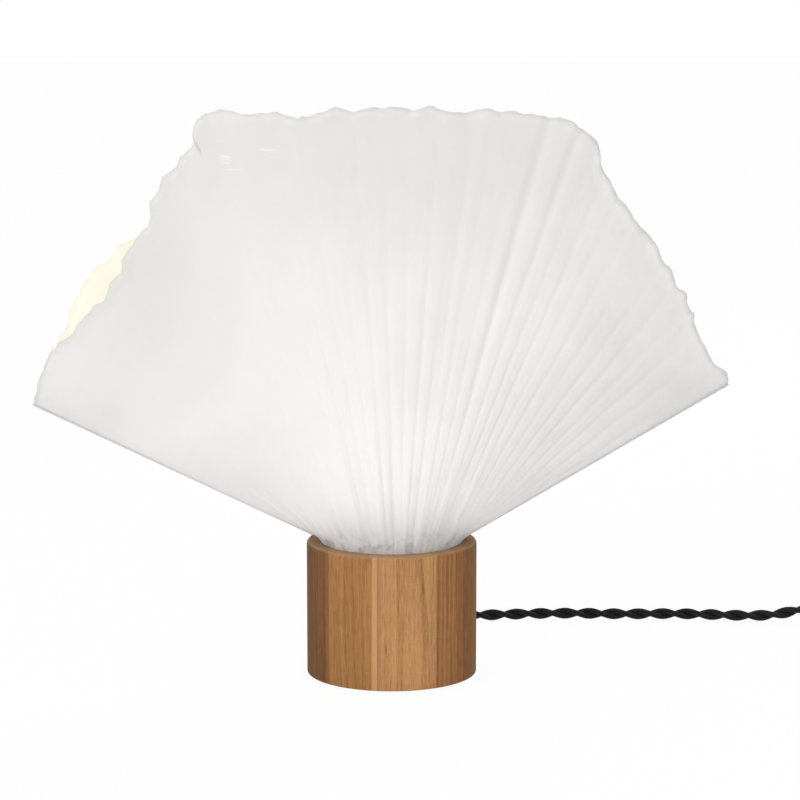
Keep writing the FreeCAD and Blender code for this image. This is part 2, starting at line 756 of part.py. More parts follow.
def pleated_panel(name, rim, side):
    """A sheet of narrow knife pleats from the neck ring to the torn rim; side is -1 in front, 1 behind."""
    count = 2 * int(size("pleats"))
    bulge = side * size("front_bulge" if side < 0 else "back_bulge")
    seam = Vector(0, side * size("seam_gap"), 0)
    low_high = size(f"{ring_low} + ring_flange_thick + paper_low_gap")
    neck_high = size(f"{wood_top} + neck_rise")
    neck_radius = size(f"{mouth_radius} - neck_gap")
    low_radius = size(f"{ring_radius} + pleat_deep_neck + paper_neck_thick + screw_gap")
    stations = {"outer": [], "inner": []}
    for number in range(count + 1):
        share = number / count
        turn = math.pi * (1 - share)
        away = Vector(math.cos(turn), side * math.sin(turn), 0)
        valley = number % 2
        tip = rim_point(rim, share, bulge)
        step = 0.5 / count
        rim_way = rim_point(rim, min(share + step, 1), bulge) - rim_point(rim, max(share - step, 0), bulge)
        neck = away * neck_radius + Vector(0, 0, neck_high)
        fold = (tip - neck).normalize()
        normal = fold.cross(rim_way).normalize()
        if normal.y * side < 0:
            normal = -normal
        tip = tip - normal * (valley * size("pleat_deep_rim")) - fold * (valley * size("scallop"))
        dip = valley * size("pleat_deep_neck")
        row = [
            away * (low_radius - dip) + Vector(0, 0, low_high),
            away * (neck_radius - dip) + Vector(0, 0, neck_high),
        ]
        walls = size("paper_neck_thick")
        stations["outer"].append([point + seam for point in row] + [tip + seam])
        stations["inner"].append([point - away * walls + seam for point in row]
                                 + [tip - normal * size("paper_rim_thick") + seam])
    faces = []
    for number in range(count):
        for wall in ("outer", "inner"):
            here = stations[wall][number]
            after = stations[wall][number + 1]
            for level in range(2):
                faces.append(triangle(here[level], after[level], after[level + 1]))
                faces.append(triangle(here[level], after[level + 1], here[level + 1]))
        for level in (0, 2):
            corners = [stations[wall][end][level] for wall, end in
                       (("outer", number), ("outer", number + 1), ("inner", number + 1), ("inner", number))]
            faces.append(triangle(corners[0], corners[1], corners[2]))
            faces.append(triangle(corners[0], corners[2], corners[3]))
    for end in (0, count):
        for level in range(2):
            outer = stations["outer"][end]
            inner = stations["inner"][end]
            faces.append(triangle(outer[level], outer[level + 1], inner[level + 1]))
            faces.append(triangle(outer[level], inner[level + 1], inner[level]))
    shell = Part.makeShell(faces)
    shell.sewShape()
    panel = doc.addObject("Part::Feature", name)
    closed = Part.Solid(shell)
    if closed.Volume < 0:
        closed = Part.Solid(shell.reversed())
    panel.Shape = closed
    return keep(panel, name)


def seam_strip(name, rim_end, side):
    """A glued paper strip under the edge where the two panels meet."""
    start = Vector(side * size(f"{mouth_radius} - neck_gap"), 0, size(f"{wood_top} + neck_rise"))
    tip = Vector(rim_end[0], 0, rim_end[1])
    way = (tip - start).normalize()
    down = Vector(side * way.z, 0, -abs(way.x))
    near = start + way * size("seam_start") + down * size("seam_drop")
    long = (tip - start).Length - size("seam_start")
    strip = doc.addObject("Part::Feature", name)
    wide = size("seam_wide")
    thick = size("seam_thick")
    edge = [near + Vector(0, -wide / 2, 0), near + Vector(0, wide / 2, 0)]
    corners = [edge[0], edge[1], edge[1] + down * thick, edge[0] + down * thick]
    section = Part.Face(Part.makePolygon(corners + corners[:1]))
    strip.Shape = section.extrude(way * long)
    return keep(strip, name)


def shade():
    flange_top = f"({ring_low} + ring_flange_thick)"
    ring_top = f"({ring_low} + ring_tall)"
    ring = turned("neck_ring", [
        (ring_bore_radius, ring_low),
        (ring_flange_radius, ring_low),
        (ring_flange_radius, flange_top),
        (ring_radius, flange_top),
        (ring_radius, ring_top),
        (ring_bore_radius, ring_top),
    ])
    keep(ring, "neck_ring")
    pleated_panel("front_panel", front_rim, -1)
    pleated_panel("back_panel", back_rim, 1)
    seam_strip("left_seam", front_rim[0], -1)
    seam_strip("right_seam", front_rim[-1], 1)


# ---- cord, switch, coil and plug ----

def tube_path(points):
    """Straight runs joined by tangent arcs, each as large as its two runs allow."""
    points = [Vector(*point) for point in points]
    edges = []
    radii = []
    last = points[0]
    for before, corner, after in zip(points, points[1:], points[2:]):
        back = (before - corner).normalize()
        on = (after - corner).normalize()
        half_turn = (math.pi - back.getAngle(on)) / 2
        reach = 0.45 * min((before - corner).Length, (after - corner).Length)
        first = corner + back * reach
        final = corner + on * reach
        radius = reach / math.tan(half_turn)
        centre = corner + (back + on).normalize() * (radius / math.cos(half_turn))
        mid = centre + (corner - centre).normalize() * radius
        edges.append(Part.LineSegment(last, first).toShape())
        edges.append(Part.Arc(first, mid, final).toShape())
        radii.append(radius)
        last = final
    edges.append(Part.LineSegment(last, points[-1]).toShape())
    return Part.Wire(edges), radii


def tube(name, points, wide):
    """A round cord along its route; its volume is compared with section times length."""
    path, radii = tube_path(points)
    start = Vector(*points[0])
    way = (Vector(*points[1]) - start).normalize()
    ring = Part.Wire(Part.Circle(start, way, wide / 2).toShape())
    shape = path.makePipeShell([ring], True, True)
    expected = math.pi * wide ** 2 / 4 * path.Length
    smallest = min(radii)
    print(f"{name}: length {path.Length:.1f}, smallest radius {smallest:.1f}"
          f" = {smallest / wide:.1f} diameters, radii {[round(radius) for radius in radii]},"
          f" volume ratio {shape.Volume / expected:.4f}")
    return shape


def tube_part(name, points, wide):
    piece = doc.addObject("Part::Feature", name)
    piece.Shape = tube(name, points, wide)
    return keep(piece, name)


def lamp_leads():
    """The two insulated cores, from the cord through the tube to the terminals."""
    shapes = []
    wide = size("lead_wide")
    for side in (-1, 1):
        across = side * size("lead_apart / 2")
        high = size("cord_hole_high")
        end_high = size(f"{cap_top} - insert_deep - terminal_head_tall") - wide
        terminal = side * (size("terminal_apart / 2") - size("terminal_head_wide / 2"))
        points = [
            (across, size(f"{cavity_radius} - grip_in_long"), high),
            (across, 0, high),
            (across, 0, end_high - size("lead_turn_drop")),
            (terminal, 0, end_high),
        ]
        shapes.append(tube("lamp_lead", points, wide))
    leads = doc.addObject("Part::Feature", "lamp_leads")
    leads.Shape = Part.makeCompound(shapes)
    return keep(leads, "lamp_leads")


def cords():
    wide = size("cord_wide")
    low = size(cord_radius)
    switch_near = size("switch_x - switch_long / 2 - relief_long")
    switch_far = size("switch_x + switch_long / 2 + relief_long")
    switch_across = size("switch_y")
    switch_high = size(switch_mid)
    run_in = size("switch_run_in")
    to_switch = [
        (0, size(grip_tip), size("cord_hole_high")),
        (0, 86, size("cord_hole_high")),
        (3, 101, 8.8),
        (12.5, 115.5, 5.0),
        (27, 124.5, low),
        (46, 128.5, low),
        (70, 131, low),
        (95, 134.5, low),
        (120, 135, low),
        (146, 132.5, low),
        (182, 134, low),
        (207, 130.5, low),
        (226, 128, low),
        (243, 127.2, 4.2),
        (switch_near - run_in, switch_across, switch_high),
        (switch_near, switch_across, switch_high),
    ]
    tube_part("cord_to_switch", to_switch, wide)
    coil_side = size("coil_x + coil_mid_wide / 2") + wide
    to_coil = [
        (switch_far, switch_across, switch_high),
        (switch_far + run_in, switch_across, switch_high),
        (403.5, 121.6, 6.4),
        (413.5, 111.3, low),
        (419.5, 99.2, low),
        (422, 87, low),
        (coil_side, size("coil_y + coil_run_in"), low),
    ]
    tube_part("cord_to_coil", to_coil, wide)
    top = low + size("coil_layer_rise")
    plug_near = size("plug_x + plug_relief_long")
    plug_run_in = size("plug_run_in")
    to_plug = [
        (coil_side - wide / 2, size("coil_y - coil_run_out"), top),
        (418.6, 34.2, 7.7),
        (416.3, 17.3, 4.6),
        (408.7, 3.2, low),
        (397.3, -7.0, low),
        (383.6, -12.7, 4.7),
        (plug_near + plug_run_in, size("plug_y"), size(plug_mid)),
        (plug_near, size("plug_y"), size(plug_mid)),
    ]
    tube_part("cord_to_plug", to_plug, wide)


def coil():
    mid = "coil_mid_wide / 2"
    low_reach = "(coil_low_turns * cord_wide / 2)"
    top_reach = "(coil_top_turns * cord_wide / 2)"
    top = f"({cord_radius} * 2 + coil_layer_rise)"
    keep(turned("cord_coil", [
        (f"{mid} - {low_reach}", "cord_wide / 4"),
        (f"{mid} - {low_reach} + cord_wide / 4", "0"),
        (f"{mid} + {low_reach} - cord_wide / 4", "0"),
        (f"{mid} + {low_reach}", "cord_wide / 4"),
        (f"{mid} + {low_reach}", "cord_wide * 3 / 4"),
        (f"{mid} + {top_reach}", f"{top} - cord_wide / 4"),
        (f"{mid} + {top_reach} - cord_wide / 4", top),
        (f"{mid} - {top_reach} + cord_wide / 4", top),
        (f"{mid} - {top_reach}", f"{top} - cord_wide / 4"),
        (f"{mid} - {low_reach}", "cord_wide * 3 / 4"),
    ], ("coil_x", "coil_y", "0")), "cord_coil")
    reach = f"({low_reach} + tie_gap)"
    tall = f"({top} + tie_gap)"
    mid_x = f"coil_x - {mid}"
    outer = block("tie_outer", f"{reach} * 2 + tie_thick * 2", "tie_wide", f"{tall} + tie_thick",
                  (mid_x, "coil_y", f"({tall} + tie_thick) / 2"))
    inner = block("tie_inner", f"{reach} * 2", "tie_wide", tall, (mid_x, "coil_y", f"{tall} / 2"))
    keep(cut("coil_tie", outer, [inner]), "coil_tie")


def switch_shell(name, low, tall, roof_low):
    """One half of the switch's case: a rounded block, open on the parting side."""
    middle_high = f"{low} + ({tall}) / 2"
    middle_spot = ("switch_x", "switch_y", middle_high)
    outer = block(name + "_block", "switch_long", "switch_wide", tall, middle_spot)
    upright = rounded(name + "_corners", outer, "switch_corner", lambda edge: edge.BoundBox.ZLength > 1)
    face = size(low) if roof_low else size(f"{low} + {tall}")
    soft = rounded(name + "_edges", upright, "switch_edge",
                   lambda edge: edge.BoundBox.ZLength < 0.01 and abs(edge.BoundBox.ZMin - face) < 0.01)
    inside_long = "switch_long - switch_wall * 2"
    inside_wide = "switch_wide - switch_wall * 2"
    inside_high = f"{low} + switch_wall" if roof_low else low
    inside_mid = ("switch_x", "switch_y", f"{inside_high} + ({tall} - switch_wall) / 2")
    inside = block(name + "_inside", inside_long, inside_wide, f"{tall} - switch_wall", inside_mid)
    return cut(name + "_hollow", soft, [inside])


def switch_spots():
    return [
        (f"switch_x + {sign} * switch_screw_x", f"switch_y + {sign} * switch_screw_y")
        for sign in (-1, 1)
    ]


def relief_hole(name):
    at = ("switch_x - switch_long / 2 - cord_gap", "switch_y", switch_mid)
    return cylinder(name, "relief_root_wide / 2 + screw_gap", "switch_long + cord_gap * 2", at, along_x)


def in_line_switch():
    half = "switch_tall / 2"
    lower = switch_shell("lower_case", "0", half, True)
    bosses = []
    screw_holes = []
    screws = []
    for number, (across, deep) in enumerate(switch_spots(), 1):
        bosses.append(cylinder(f"lower_boss_{number}", "switch_boss_wide / 2", half, (across, deep, "0")))
        screw_holes.append(cylinder(f"lower_screw_hole_{number}", "switch_screw_wide / 2 + screw_gap",
                                    half, (across, deep, "0")))
        screw_holes.append(cylinder(f"lower_head_hole_{number}", "switch_screw_head / 2 + screw_gap",
                                    "switch_screw_head_tall + screw_gap", (across, deep, "0")))
        head = cylinder(f"case_screw_head_{number}", "switch_screw_head / 2", "switch_screw_head_tall",
                        (across, deep, "screw_gap"))
        stem = cylinder(f"case_screw_stem_{number}", "switch_screw_wide / 2", "switch_screw_long",
                        (across, deep, "screw_gap"))
        screws.append(fuse(f"case_screw_{number}", [head, stem]))
    joined = fuse("lower_case_joined", [lower] + bosses)
    holes = [relief_hole("lower_relief_hole")] + screw_holes
    keep(cut("switch_lower_case", joined, holes), "switch_lower_case")
    keep(fuse("switch_screws", screws), "switch_screws")

    upper = switch_shell("upper_case", half, half, False)
    bosses = []
    screw_holes = []
    for number, (across, deep) in enumerate(switch_spots(), 1):
        low = (across, deep, half)
        boss_tall = f"{half} - switch_wall / 2"
        bosses.append(cylinder(f"upper_boss_{number}", "switch_boss_wide / 2", boss_tall, low))
        hole = "switch_screw_wide / 2 + thread_gap"
        hole_deep = "switch_screw_long - switch_tall / 2 + screw_gap * 3"
        screw_holes.append(cylinder(f"upper_screw_hole_{number}", hole, hole_deep, low))
    lug_low = f"{rocker_pin_high} - rocker_pin_wide"
    lug_tall = f"switch_tall - switch_wall / 2 - ({lug_low})"
    for side in (-1, 1):
        deep = f"switch_y + {side} * (slot_wide / 2 + lug_thick / 2)"
        word = "front" if side < 0 else "back"
        bosses.append(block(f"rocker_lug_{word}", "lug_long", "lug_thick", lug_tall,
                            ("switch_x", deep, f"{lug_low} + ({lug_tall}) / 2")))
    slot_mid = ("switch_x", "switch_y", "switch_tall")
    slot = block("rocker_slot", "slot_long", "slot_wide", "switch_wall * 4", slot_mid)
    pin_at = ("switch_x", "switch_y - rocker_pin_long / 2", rocker_pin_high)
    pin_hole_radius = "rocker_pin_wide / 2 + rocker_pin_gap"
    pin_hole = cylinder("lug_pin_hole", pin_hole_radius, "rocker_pin_long", pin_at, along_y)
    joined = fuse("upper_case_joined", [upper] + bosses)
    tools = [relief_hole("upper_relief_hole"), slot, pin_hole] + screw_holes
    keep(cut("switch_upper_case", joined, tools), "switch_upper_case")
    keep(cylinder("rocker_pin", "rocker_pin_wide / 2", "rocker_pin_long", pin_at, along_y), "rocker_pin")
    rocker()
    reliefs()
    switch_contacts()


def rocker():
    """A see-saw key on its pin, shown pressed down at its near end."""
    body = doc.addObject("PartDesign::Body", "switch_rocker")
    sketch = body.newObject("Sketcher::SketchObject", "rocker_side")
    sketch.AttachmentSupport = (origin_plane(body, "XZ_Plane"), [""])
    sketch.MapMode = "FlatFace"
    half = "rocker_half_long"
    corners = [
        (f"-{half}", "rocker_end_rise"),
        ("0", "rocker_mid_rise"),
        (half, "rocker_end_rise"),
        (f"{half} * rocker_taper", "-rocker_pin_wide / 2"),
        ("0", "-rocker_keel"),
        (f"-{half} * rocker_taper", "-rocker_pin_wide / 2"),
    ]
    points = [Vector(size(across), size(up), 0) for across, up in corners]
    for here, after in zip(points, points[1:] + points[:1]):
        sketch.addGeometry(Part.LineSegment(here, after), False)
    for number, (across, up) in enumerate(corners):
        sketch.addConstraint(Sketcher.Constraint("Coincident", number, 2, (number + 1) % len(corners), 1))
        if across == "0":
            sketch.addConstraint(Sketcher.Constraint("PointOnObject", number, 1, -2))
        else:
            wide_rule = Sketcher.Constraint("DistanceX", -1, 1, number, 1, points[number].x)
            added = sketch.addConstraint(wide_rule)
            sketch.setExpression(f"Constraints[{added}]", rule(across))
        added = sketch.addConstraint(Sketcher.Constraint("DistanceY", -1, 1, number, 1, points[number].y))
        sketch.setExpression(f"Constraints[{added}]", rule(up))
    pad = body.newObject("PartDesign::Pad", "rocker_key")
    pad.Profile = sketch
    pad.Midplane = True
    pad.setExpression("Length", rule("rocker_wide"))
    doc.recompute()
    bore = body.newObject("Sketcher::SketchObject", "rocker_bore_circle")
    bore.AttachmentSupport = (origin_plane(body, "XZ_Plane"), [""])
    bore.MapMode = "FlatFace"
    hole_radius = "rocker_pin_wide / 2 + rocker_pin_gap"
    bore.addGeometry(Part.Circle(Vector(0, 0, 0), Vector(0, 0, 1), size(hole_radius)), False)
    bore.addConstraint(Sketcher.Constraint("Coincident", 0, 3, -1, 1))
    added = bore.addConstraint(Sketcher.Constraint("Radius", 0, size(hole_radius)))
    bore.setExpression(f"Constraints[{added}]", rule(hole_radius))
    pocket = body.newObject("PartDesign::Pocket", "rocker_bore")
    pocket.Profile = bore
    pocket.Type = "Length"
    pocket.Midplane = True
    pocket.setExpression("Length", rule("rocker_wide * 2"))
    doc.recompute()
    place(body, ("switch_x", "switch_y", rocker_pin_high), ((0, 1, 0), -size("rocker_tilt")))
    keep(body, "switch_rocker")


def reliefs():
    """The two tapered sleeves where the cord enters and leaves the switch."""
    sleeves = []
    for side, turn in ((-1, against_x), (1, along_x)):
        word = "near" if side < 0 else "far"
        face = f"switch_x + {side} * (switch_long / 2 - relief_in)"
        reach = "relief_long + relief_in"
        taper = cone(f"relief_{word}_taper", "relief_root_wide / 2", "relief_tip_wide / 2", reach,
                     (face, "switch_y", switch_mid), turn)
        hole = cylinder(f"relief_{word}_hole", f"{cord_radius} + cord_gap", "relief_in",
                        (face, "switch_y", switch_mid), turn)
        sleeves.append(cut(f"relief_{word}", taper, [hole]))
    keep(fuse("switch_reliefs", sleeves), "switch_reliefs")


def switch_contacts():
    """Two brass rails on the case's floor, each with an upright tongue under the rocker."""
    pieces = []
    for side in (-1, 1):
        word = "near" if side < 0 else "far"
        x = f"switch_x + {side} * rocker_half_long / 2"
        rail = block(f"contact_{word}_rail", "switch_rail_long", "contact_wide", "contact_thick * 2",
                     (x, "switch_y", "switch_wall + contact_thick"))
        post = block(f"contact_{word}_post", "contact_thick * 2", "contact_wide", "switch_post_tall",
                     (x, "switch_y", "switch_wall + switch_post_tall / 2"))
        pieces.append(fuse(f"contact_{word}", [rail, post]))
    keep(fuse("switch_contact_pair", pieces), "switch_contacts")


def plug():
    """A flat two-pin plug lying on the table, pins towards -X."""
    face = "plug_x - plug_long"
    rings = []
    for name, across, wide, tall in (("plug_face", face, "plug_face_wide", "plug_face_tall"),
                                     ("plug_waist", "plug_x - plug_long * plug_waist_share",
                                      "plug_face_wide * plug_waist_narrowing",
                                      "plug_face_tall"),
                                     ("plug_neck", "plug_x", "plug_neck_wide", "plug_neck_tall")):
        half_wide = size(f"{wide} / 2")
        half_tall = size(f"{tall} / 2")
        x = size(across)
        y = size("plug_y")
        z = size(plug_mid)
        bevel = half_tall * size("plug_bevel_share")
        edge = half_tall * size("plug_edge_share")
        corners = [(half_wide - bevel, half_tall), (half_wide, edge), (half_wide, -edge),
                   (half_wide - bevel, -half_tall)]
        loop = corners + [(-deep, up) for deep, up in corners[::-1]]
        points = [Vector(x, y + deep, z + up) for deep, up in loop]
        rings.append(Part.makePolygon(points + points[:1]))
    body = Part.makeLoft(rings, True, True)
    pin_holes = []
    hole_radius = size("pin_core_wide / 2 + thread_gap")
    hole_deep = size("pin_in + thread_gap")
    for side in (-1, 1):
        start = Vector(size(face), size("plug_y") + side * size("pin_apart / 2"), size(plug_mid))
        pin_holes.append(Part.makeCylinder(hole_radius, hole_deep, start, Vector(1, 0, 0)))
    shell = doc.addObject("Part::Feature", "plug_body")
    shell.Shape = body.cut(Part.makeCompound(pin_holes)).Solids[0]
    keep(shell, "plug_body")
    relief = cone("plug_relief", "relief_root_wide / 2", "relief_tip_wide / 2", "plug_relief_long",
                  ("plug_x", "plug_y", plug_mid), along_x)
    keep(relief, "plug_relief")
    pins = []
    sleeves = []
    for side in (-1, 1):
        at = (face, f"plug_y + {side} * pin_apart / 2", plug_mid)
        word = "near" if side < 0 else "far"
        pins.append(turned(f"pin_{word}", [
            ("0", "-pin_in"),
            ("pin_core_wide / 2", "-pin_in"),
            ("pin_core_wide / 2", "pin_sleeve_long"),
            ("pin_wide / 2", "pin_sleeve_long"),
            ("pin_wide / 2", "pin_long - pin_wide / 4"),
            ("pin_wide / 4", "pin_long"),
            ("0", "pin_long"),
        ], at, against_x))
        sleeves.append(turned(f"sleeve_{word}", [
            ("pin_core_wide / 2 + thread_gap", "0"),
            ("pin_sleeve_wide / 2", "0"),
            ("pin_sleeve_wide / 2", "pin_sleeve_long"),
            ("pin_core_wide / 2 + thread_gap", "pin_sleeve_long"),
        ], at, against_x))
    keep(fuse("plug_pins", pins), "plug_pins")
    keep(fuse("pin_sleeves", sleeves), "pin_sleeves")


wooden_base()
plate_and_screws()
ballast()
cord_grip()
holder_tube()
lampholder()
lamp_leads()
bulb()
shade()
cords()
in_line_switch()
coil()
plug()

doc.recompute()
troubles = [f"{thing.Label}: {thing.State}" for thing in doc.Objects
            if "Invalid" in thing.State or "Error" in thing.State]
for thing in sub_parts:
    if thing.Shape.isNull() or not thing.Shape.isValid():
        troubles.append(f"{thing.Label}: bad shape")
if troubles:
    raise SystemExit("\n".join(troubles))

os.makedirs("parts", exist_ok=True)
for thing in sub_parts:
    thing.Shape.exportStep(f"parts/{thing.Label}.step")
    box = thing.Shape.BoundBox
    print(f"{thing.Label}: {len(thing.Shape.Solids)} solid, {thing.Shape.Volume:.0f} mm3,"
          f" x {box.XMin:.1f} {box.XMax:.1f}, y {box.YMin:.1f} {box.YMax:.1f},"
          f" z {box.ZMin:.1f} {box.ZMax:.1f}")
print(len(sub_parts), "sub-parts")
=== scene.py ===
import bpy
import bmesh
import math
import random
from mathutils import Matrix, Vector


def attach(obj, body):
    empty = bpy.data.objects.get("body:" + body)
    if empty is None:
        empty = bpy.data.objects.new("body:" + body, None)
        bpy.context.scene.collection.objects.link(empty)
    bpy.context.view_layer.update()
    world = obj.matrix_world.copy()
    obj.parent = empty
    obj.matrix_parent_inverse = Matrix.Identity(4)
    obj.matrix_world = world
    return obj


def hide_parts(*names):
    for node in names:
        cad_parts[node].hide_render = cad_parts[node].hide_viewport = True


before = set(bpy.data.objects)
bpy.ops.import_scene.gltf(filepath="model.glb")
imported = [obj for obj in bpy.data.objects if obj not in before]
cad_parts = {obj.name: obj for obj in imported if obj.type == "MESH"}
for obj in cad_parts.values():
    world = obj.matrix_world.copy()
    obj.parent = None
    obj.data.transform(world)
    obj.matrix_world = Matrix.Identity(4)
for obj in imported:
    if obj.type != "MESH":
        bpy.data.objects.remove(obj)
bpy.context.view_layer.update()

# Pleated paper table lamp, in metres. Everything sits where the loaded frame has it.

# camera, fitted to the two rings of the base in the photograph
cameraSet = {
    "lens": 142.07,
    "sensor": 36,
    "place": (0.0049, -1.820, 0.470),
    "pitch": 9.56,  # degrees below level
    "nearest": 0.05,
    "farthest": 60,
}


def makeCamera():
    data = bpy.data.cameras.new("mainCamera")
    data.lens = cameraSet["lens"]
    data.sensor_width = cameraSet["sensor"]
    data.clip_start = cameraSet["nearest"]
    data.clip_end = cameraSet["farthest"]
    camera = newPiece("mainCamera", data)
    camera.location = cameraSet["place"]
    camera.rotation_euler = (math.radians(90 - cameraSet["pitch"]), 0, 0)
    bpy.context.scene.camera = camera
    print("camera")


# small helpers for numbers and meshes
def smoothStep(low, high, x):
    t = min(max((x - low) / (high - low), 0.0), 1.0)
    return t * t * (3 - 2 * t)


def mix(a, b, t):
    return a + (b - a) * t


def newPiece(name, data):
    piece = bpy.data.objects.new(name, data)
    bpy.context.scene.collection.objects.link(piece)
    return piece


def meshFrom(name, points, faces, sharpAngle=None):
    mesh = bpy.data.meshes.new(name)
    mesh.from_pydata([tuple(point) for point in points], [], faces)
    mesh.update()
    mesh.shade_smooth()
    if sharpAngle is not None:
        mesh.set_sharp_from_angle(angle=math.radians(sharpAngle))
    return mesh


def tubeFaces(start, parts, sides):
    # the faces between rings of points, one ring after the other, with both ends closed
    faces = []
    last = start + parts * sides
    for ring in range(start, last, sides):
        for corner in range(sides):
            after = (corner + 1) % sides
            faces.append((ring + corner, ring + after, ring + sides + after, ring + sides + corner))
    faces.append(tuple(range(start, start + sides))[::-1])
    faces.append(tuple(range(last, last + sides)))
    return faces


def outwards(mesh):
    shape = bmesh.new()
    shape.from_mesh(mesh)
    bmesh.ops.recalc_face_normals(shape, faces=shape.faces)
    shape.to_mesh(mesh)
    shape.free()


# small helpers for node trees: a value may be a number or another node's socket
def isSocket(value):
    return isinstance(value, bpy.types.NodeSocket)


def node(tree, kind, values=None, **settings):
    made = tree.nodes.new(kind)
    for field, value in settings.items():
        setattr(made, field, value)
    for key, value in (values or {}).items():
        if isSocket(value):
            tree.links.new(value, made.inputs[key])
        else:
            made.inputs[key].default_value = value
    return made


def calc(tree, operation, *values):
    inputs = dict(enumerate(values))
    return node(tree, "ShaderNodeMath", inputs, operation=operation).outputs[0]


def plus(tree, a, b):
    return calc(tree, "ADD", a, b)


def minus(tree, a, b):
    return calc(tree, "SUBTRACT", a, b)


def times(tree, a, b):
    return calc(tree, "MULTIPLY", a, b)


def timesPlus(tree, a, b, c):
    return calc(tree, "MULTIPLY_ADD", a, b, c)


def vec(tree, operation, a, b):
    inputs = {0: a, (3 if operation == "SCALE" else 1): b}
    made = node(tree, "ShaderNodeVectorMath", inputs, operation=operation)
    return made.outputs[1 if operation == "DISTANCE" else 0]


def joined(tree, x, y, z):
    return node(tree, "ShaderNodeCombineXYZ", {0: x, 1: y, 2: z}).outputs[0]


def parted(tree, place):
    return node(tree, "ShaderNodeSeparateXYZ", {0: place}).outputs


def fitRange(tree, value, low, high, toLow=0.0, toHigh=1.0, kind="SMOOTHSTEP"):
    inputs = {0: value, 1: low, 2: high, 3: toLow, 4: toHigh}
    return node(tree, "ShaderNodeMapRange", inputs, interpolation_type=kind).outputs[0]


def noiseField(tree, where, scale, detail=2.0, rough=0.5):
    inputs = {"Vector": where, "Scale": scale, "Detail": detail, "Roughness": rough}
    return node(tree, "ShaderNodeTexNoise", inputs, noise_dimensions="3D").outputs[0]


def asColour(value):
    return value if isSocket(value) else (*value, 1)


def colourMix(tree, share, a, b, blend="MIX"):
    inputs = {0: share, 6: asColour(a), 7: asColour(b)}
    return node(tree, "ShaderNodeMix", inputs, data_type="RGBA", blend_type=blend).outputs[2]


def placeMix(tree, share, a, b):
    return node(tree, "ShaderNodeMix", {0: share, 4: a, 5: b}, data_type="VECTOR").outputs[1]


def newMaterial(name):
    material = bpy.data.materials.new(name)
    material.use_nodes = True
    material.node_tree.nodes.clear()
    return material, material.node_tree


def objectPlace(tree, scale=(1, 1, 1)):
    coordinates = node(tree, "ShaderNodeTexCoord").outputs["Object"]
    return node(tree, "ShaderNodeMapping", {"Vector": coordinates, "Scale": scale}).outputs[0]


def stretchedNoise(tree, stretch, detail, rough=0.5):
    return noiseField(tree, objectPlace(tree, stretch), 1.0, detail, rough)


def ownMap(tree, name):
    return parted(tree, node(tree, "ShaderNodeUVMap", None, uv_map=name).outputs[0])


def facing(tree, axis):
    return parted(tree, node(tree, "ShaderNodeNewGeometry").outputs["Normal"])[axis]


def bumped(tree, height, strength, distance):
    inputs = {"Height": height, "Strength": strength, "Distance": distance}
    return node(tree, "ShaderNodeBump", inputs).outputs[0]


def principled(tree, colour, rough, **constants):
    made = node(tree, "ShaderNodeBsdfPrincipled", {"Base Color": asColour(colour), "Roughness": rough})
    for key, value in constants.items():
        made.inputs[key.replace("_", " ")].default_value = value
    return made


def withNormal(tree, shader, normal):
    tree.links.new(normal, shader.inputs["Normal"])
    return shader.outputs[0]


def finishMaterial(tree, shader):
    node(tree, "ShaderNodeOutputMaterial", {"Surface": shader})


# materials: named finishes, with patterns on object coordinates or on the piece's own map
paperSet = {
    "colour": (0.903, 0.896, 0.899),
    "warmColour": (0.883, 0.870, 0.868),
    "throughColour": (0.945, 0.933, 0.922),
    "through": 0.40,  # share of the light that goes through the sheet
    "roughness": 0.92,
    # painted shade: the paper greys towards the rim
    "rimShadeColour": (0.84, 0.84, 0.84),  # towards the rim
    # painted shade where the folds are packed at the neck
    "neckShadeColour": (0.81, 0.805, 0.795),  # where the folds are packed
    "dentShadeColour": (0.60, 0.59, 0.58),
    # painted shade along the curled torn edge
    "tornEdgeShadeColour": (0.76, 0.755, 0.725),  # the torn edge
    # painted highlights on a few wrinkles
    "wrinkleHighlightColour": (0.99, 0.98, 0.97),
    "wrinkleHighlightPlace": ((-0.079, 0.020), (-0.050, 0.020), (0.309, 0.015)),  # middle and reach on each axis
    "litColour": (1.0, 0.85, 0.38),
    "litStrength": 0.18,
    "litFrom": -0.10,  # the lit end of the back panel starts here and is full at litFull
    "litFull": -0.14,
}


